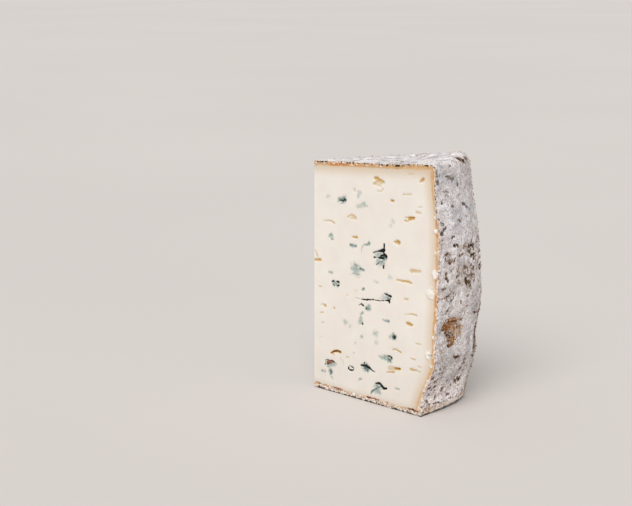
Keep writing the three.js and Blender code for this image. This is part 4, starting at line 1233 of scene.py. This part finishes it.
def mould_colour(tree, height):
    """Dry mould: white and grey patches, bluish or pinkish in places, with brown specks in beige rings.

    It is veiled high up, greyed and darkened along streaks on the top as painted shade, banked with soot and
    frost low down, and brightened near the foot as painted light."""
    tint, broad = mottle(tree, 70.0, 2.0), mottle(tree, 85.0, 1.0)
    grey = attribute(tree, "grey")
    ticks = mottle(tree, 560.0, 3.0, 1.6, Threshold=0.54, Width=0.05)
    crowd, speck = mottle(tree, 60.0, 2.0), mottle(tree, 520.0, 3.0, 0.75)
    dust = mottle(tree, 760.0, 1.0, 0.75)
    colour = layered(
        ramp(
            mottle(tree, 170.0, 8.0, 0.75),
            (0.29, 150, 139, 140), (0.39, 200, 191, 192), (0.48, 230, 223, 224),
            (0.56, 246, 242, 243), (0.68, 253, 252, 252),
        ),
        (remap(tint, 0.54, 0.66, 0.0, 0.5), (203, 210, 216)),
        (remap(tint, 0.46, 0.34, 0.0, 0.5), (218, 200, 192)),
        (remap(broad, 0.48, 0.3, 0.0, 0.5), (160, 146, 140)),
        (remap(broad, 0.52, 0.68, 0.0, 0.6), (238, 235, 234)),
        (product(grey, 0.75), (180, 189, 194)),
        (product(attribute(tree, "beige"), 0.5), (196, 180, 170)),
        (product(ticks, grey, 0.9), (112, 108, 112)),
        (product(attribute(tree, "bloom"), 0.75), (240, 237, 236)),
        # painted shade in creases and between lumps
        (product(attribute(tree, "hollow"), 0.55), (138, 122, 114)),
        (product(remap(speck, 0.54, 0.62), remap(crowd, 0.4, 0.6, 0.25, 0.9)), (180, 160, 148)),
        (product(remap(speck, 0.61, 0.66), remap(crowd, 0.4, 0.58, 0.4, 1.0)), (84, 64, 54)),
        (remap(dust, 0.62, 0.68, 0.0, 0.7), (252, 250, 250)),
        (remap(height, 92 * MM, 122 * MM, 0.1, 0.4), (212, 209, 212)),
        # painted shade: the top is greyed
        (remap(height, 147 * MM, 154 * MM, 0.0, 0.3), (212, 203, 199)),
    )
    # painted shade: the top darkens along its streaks
    streaks = mottle(tree, 210.0, 5.0)
    shade = remap(height, 148 * MM, 153 * MM, 1.0, 0.68)
    colour = lit(colour, remap(streaks, 0.4, 0.52, shade, 1.03))
    low = remap(height, 80 * MM, 40 * MM)
    colour = layered(colour, (product(low, 0.11), (172, 140, 124)))
    banks = mottle(tree, 52.0, 3.0, 0.8)
    dimming = remap(low, 0.0, 1.0, 1.0, 0.8)
    soot = mottle(tree, 980.0, 2.0, 0.8, Threshold=0.63, Width=0.03)
    frost = mottle(tree, 1080.0, 2.0, 0.8, Threshold=0.6, Width=0.03)
    colour = layered(
        lit(colour, remap(banks, 0.36, 0.56, dimming, 1.1)),
        (product(soot, low, 0.85), (96, 76, 66)),
        (product(frost, low, 0.7), (253, 251, 251)),
    )
    # painted light: brighter towards the foot, lifting the shade under the tuck
    return lit(colour, remap(height, 28 * MM, 6 * MM, 1.0, 1.32))


def raw_edge_colour(tree, height):
    """The crust's cut edge: tan, then orange in places, then chalky, with black dots on the top, crumbs at
    the foot and a painted contact shadow along the floor."""
    fine, coarse = grit(tree, 800.0, 3.0), grit(tree, 330.0, 3.0)
    raw = shifted(attribute(tree, "raw"), fine, 1.7)
    rim = ramp(
        raw,
        (0.12, 112, 92, 82), (0.24, 186, 166, 152), (0.4, 232, 215, 198),
        (0.58, 218, 178, 130), (0.95, 216, 174, 122),
    )
    top = ramp(raw, (0.1, 170, 146, 128), (0.3, 210, 178, 142), (0.6, 212, 162, 104), (0.95, 216, 176, 130))
    foot = ramp(raw, (0.05, 104, 86, 82), (0.22, 206, 186, 172), (0.6, 236, 221, 206), (0.95, 218, 194, 172))
    on_top, at_foot = attribute(tree, "raw_top"), attribute(tree, "raw_foot")
    inner = frayed(product(attribute(tree, "orange"), remap(raw, 0.3, 0.6)), coarse, 2.4)
    chalk = mottle(tree, 420.0, 2.0, Threshold=0.57, Width=0.04)
    scabs = mottle(tree, 300.0, 3.0, Threshold=0.62, Width=0.04)
    colour = layered(
        rim,
        (on_top, top),
        (at_foot, foot),
        (remap(inner, 0.15, 0.9, 0.0, 0.95), (203, 132, 68)),
        (product(chalk, 0.75), (240, 228, 218)),
        (product(scabs, at_foot, 0.8), (132, 104, 94)),
    )
    dots = frayed(attribute(tree, "dots"), fine, 2.0)
    beads = mottle(tree, 560.0, 1.0, Threshold=0.56, Width=0.03)
    colour = layered(
        with_seam(tree, colour, coarse),
        (remap(dots, 0.3, 0.6), (36, 27, 24)),
        (product(beads, product(on_top, remap(raw, 0.62, 0.4)), 0.85), (58, 42, 34)),
    )
    # painted shadow: the edge turns nearly black just above the floor, a contact shadow
    colour = lit(colour, remap(shifted(height, coarse, 7 * MM), 0.1 * MM, 1.1 * MM, 0.05, 1.0))
    return layered(colour, (remap(attribute(tree, "white"), 0.15, 0.75), (241, 236, 228)))


def rind_material():
    """Mould crust outside, with brown pits and rubbed patches, a painted contact shadow along the floor, and
    a tan and orange raw edge at the cuts.
    """
    material, tree = new_material("mould crust", 0.9, 0.05, 0.6 * MM)
    height = height_over_floor(tree)
    wobble, blotches = grit(tree, 700.0, 3.0), grit(tree, 230.0, 4.0)
    bare = product(attribute(tree, "bare"), 0.72)
    bare = shifted(bare, product(wobble, remap(bare, 0.0, 0.25)), 1.5)
    skin = ramp(
        bare,
        (0.18, 192, 174, 158), (0.36, 192, 158, 124), (0.52, 178, 124, 74),
        (0.7, 140, 88, 46), (0.95, 70, 42, 24),
    )
    pit = attribute(tree, "pit")
    pit = shifted(pit, product(wobble, remap(pit, 0.0, 0.3)), 1.8)
    brown = ramp(pit, (0.15, 192, 178, 166), (0.42, 158, 136, 120), (0.7, 106, 84, 70), (1.0, 52, 40, 34))
    high = product(remap(height, 100 * MM, 125 * MM, 0.0, 0.6), remap(height, 152 * MM, 150 * MM))
    foot = shifted(attribute(tree, "foot"), blotches, 1.6)
    lip = ramp(
        mottle(tree, 210.0, 5.0),
        (0.38, 116, 82, 64), (0.44, 186, 150, 120), (0.5, 222, 202, 180),
        (0.56, 238, 228, 220), (0.68, 246, 241, 236),
    )
    colour = layered(
        mould_colour(tree, height),
        (remap(bare, 0.06, 0.34), skin),
        (remap(pit, 0.06, 0.4), layered(brown, (high, (122, 114, 116)))),
        (remap(foot, 0.4, 1.0, 0.0, 0.85), lip),
    )
    fuzz = mottle(tree, 1150.0, 1.0, 0.8)
    colour = lit(colour, remap(fuzz, 0.34, 0.66, 0.78, 1.18))
    # painted shadow: the crust turns nearly black just above the floor, a contact shadow
    colour = lit(colour, remap(shifted(height, blotches, 5 * MM), 0.8 * MM, 1.8 * MM, 0.04, 1.0))
    colour = layered(colour, (remap(attribute(tree, "raw"), 0.03, 0.1), raw_edge_colour(tree, height)))
    return coloured(material, colour, strength=0.6, height=0.4 * MM, Scale=520.0, Pores=0.9)


def crumb_material():
    """Crumbs from dark and tan crust to white bloom, by each one's paleness, which also carries painted shade
    on crumbs near the floor.
    """
    material, tree = new_material("dry crumbs", 0.9, 0.1, 0.8 * MM)
    colour = ramp(
        attribute(tree, "pale"),
        (0.0, 46, 36, 34), (0.12, 112, 88, 72), (0.27, 184, 158, 136),
        (0.5, 212, 204, 198), (0.75, 232, 220, 206), (1.0, 241, 237, 231),
    )
    return coloured(material, colour, strength=0.4, height=0.2 * MM, Scale=900.0, Pores=0.4)


def floor_material():
    """Plain pale matt floor, very slightly cloudy."""
    material, tree = new_material("pale floor", 0.8, 0.0, MM)
    return coloured(material, ramp(mottle(tree, 1.5, 1.0), (0.3, 216, 210, 206), (0.7, 213, 207, 203)))


# ---------------------------------------------------------------- stage
FLOOR_SIZE = 60  # metres
CAMERA_TURN, CAMERA_TILT = np.radians(28.885), np.radians(11.47)
CAMERA_BACK, CAMERA_RIGHT, CAMERA_HEIGHT = 940.3, 1.4, 279.3  # from the drum's axis
CAMERA_LENS, SENSOR_WIDTH, FARTHEST_SEEN = 85.44, 36.0, 50.0
SUN_STRENGTH, SUN_SPREAD, SURROUND_STRENGTH = 2.05, np.radians(40), 0.55


def make_floor():
    """A wide level floor under the wedge."""
    bpy.ops.mesh.primitive_plane_add(size=FLOOR_SIZE)
    floor = bpy.context.object
    floor.name = "floor"
    floor.data.materials.append(floor_material())


def make_camera():
    """A long lens in front of the cut face, a little above the wedge and looking slightly down."""
    data = bpy.data.cameras.new("camera")
    data.sensor_width, data.lens, data.clip_end = SENSOR_WIDTH, CAMERA_LENS, FARTHEST_SEEN
    camera = bpy.data.objects.new("camera", data)
    ahead = Vector((-np.sin(CAMERA_TURN), np.cos(CAMERA_TURN), 0))
    right = Vector((np.cos(CAMERA_TURN), np.sin(CAMERA_TURN), 0))
    axis = Vector((AXIS_X, AXIS_Y, 0))
    camera.location = (axis - CAMERA_BACK * ahead + CAMERA_RIGHT * right + Vector((0, 0, CAMERA_HEIGHT))) * MM
    view = ahead * float(np.cos(CAMERA_TILT)) + Vector((0, 0, -float(np.sin(CAMERA_TILT))))
    camera.rotation_mode = "QUATERNION"
    camera.rotation_quaternion = view.to_track_quat("-Z", "Y")
    bpy.context.collection.objects.link(camera)
    bpy.context.scene.camera = camera


def make_lights():
    """Soft daylight: a wide, even light from above the camera's left, and a pale surround."""
    data = bpy.data.lights.new("window", "SUN")
    data.energy, data.angle = SUN_STRENGTH, SUN_SPREAD
    data.color = (1.0, 0.992, 0.98)
    light = bpy.data.objects.new("window", data)
    light.rotation_mode = "QUATERNION"
    light.rotation_quaternion = Vector((0.1, -0.66, 0.74)).to_track_quat("Z", "Y")
    light.location = (0.3, -0.9, 1.0)
    bpy.context.collection.objects.link(light)
    world = bpy.data.worlds.new("surround")
    world.use_nodes = True
    background = world.node_tree.nodes["Background"].inputs
    background["Color"].default_value = (1.0, 1.0, 1.0, 1.0)
    background["Strength"].default_value = SURROUND_STRENGTH
    bpy.context.scene.world = world


# ---------------------------------------------------------------- assembly
def finish_piece(piece, material):
    """Gives a piece its material, ties it to the root body and hides the solid's part that it stands in for.
    """
    piece.data.materials.clear()
    piece.data.materials.append(material)
    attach(piece, "root")
    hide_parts(NODE)


finish_piece(make_paste(), paste_material())
finish_piece(make_rind(), rind_material())
crumbs_look = crumb_material()
finish_piece(make_crumbs(), crumbs_look)
finish_piece(make_tufts(), crumbs_look)
make_floor()
make_camera()
make_lights()
bpy.context.scene.view_settings.view_transform = "Standard"
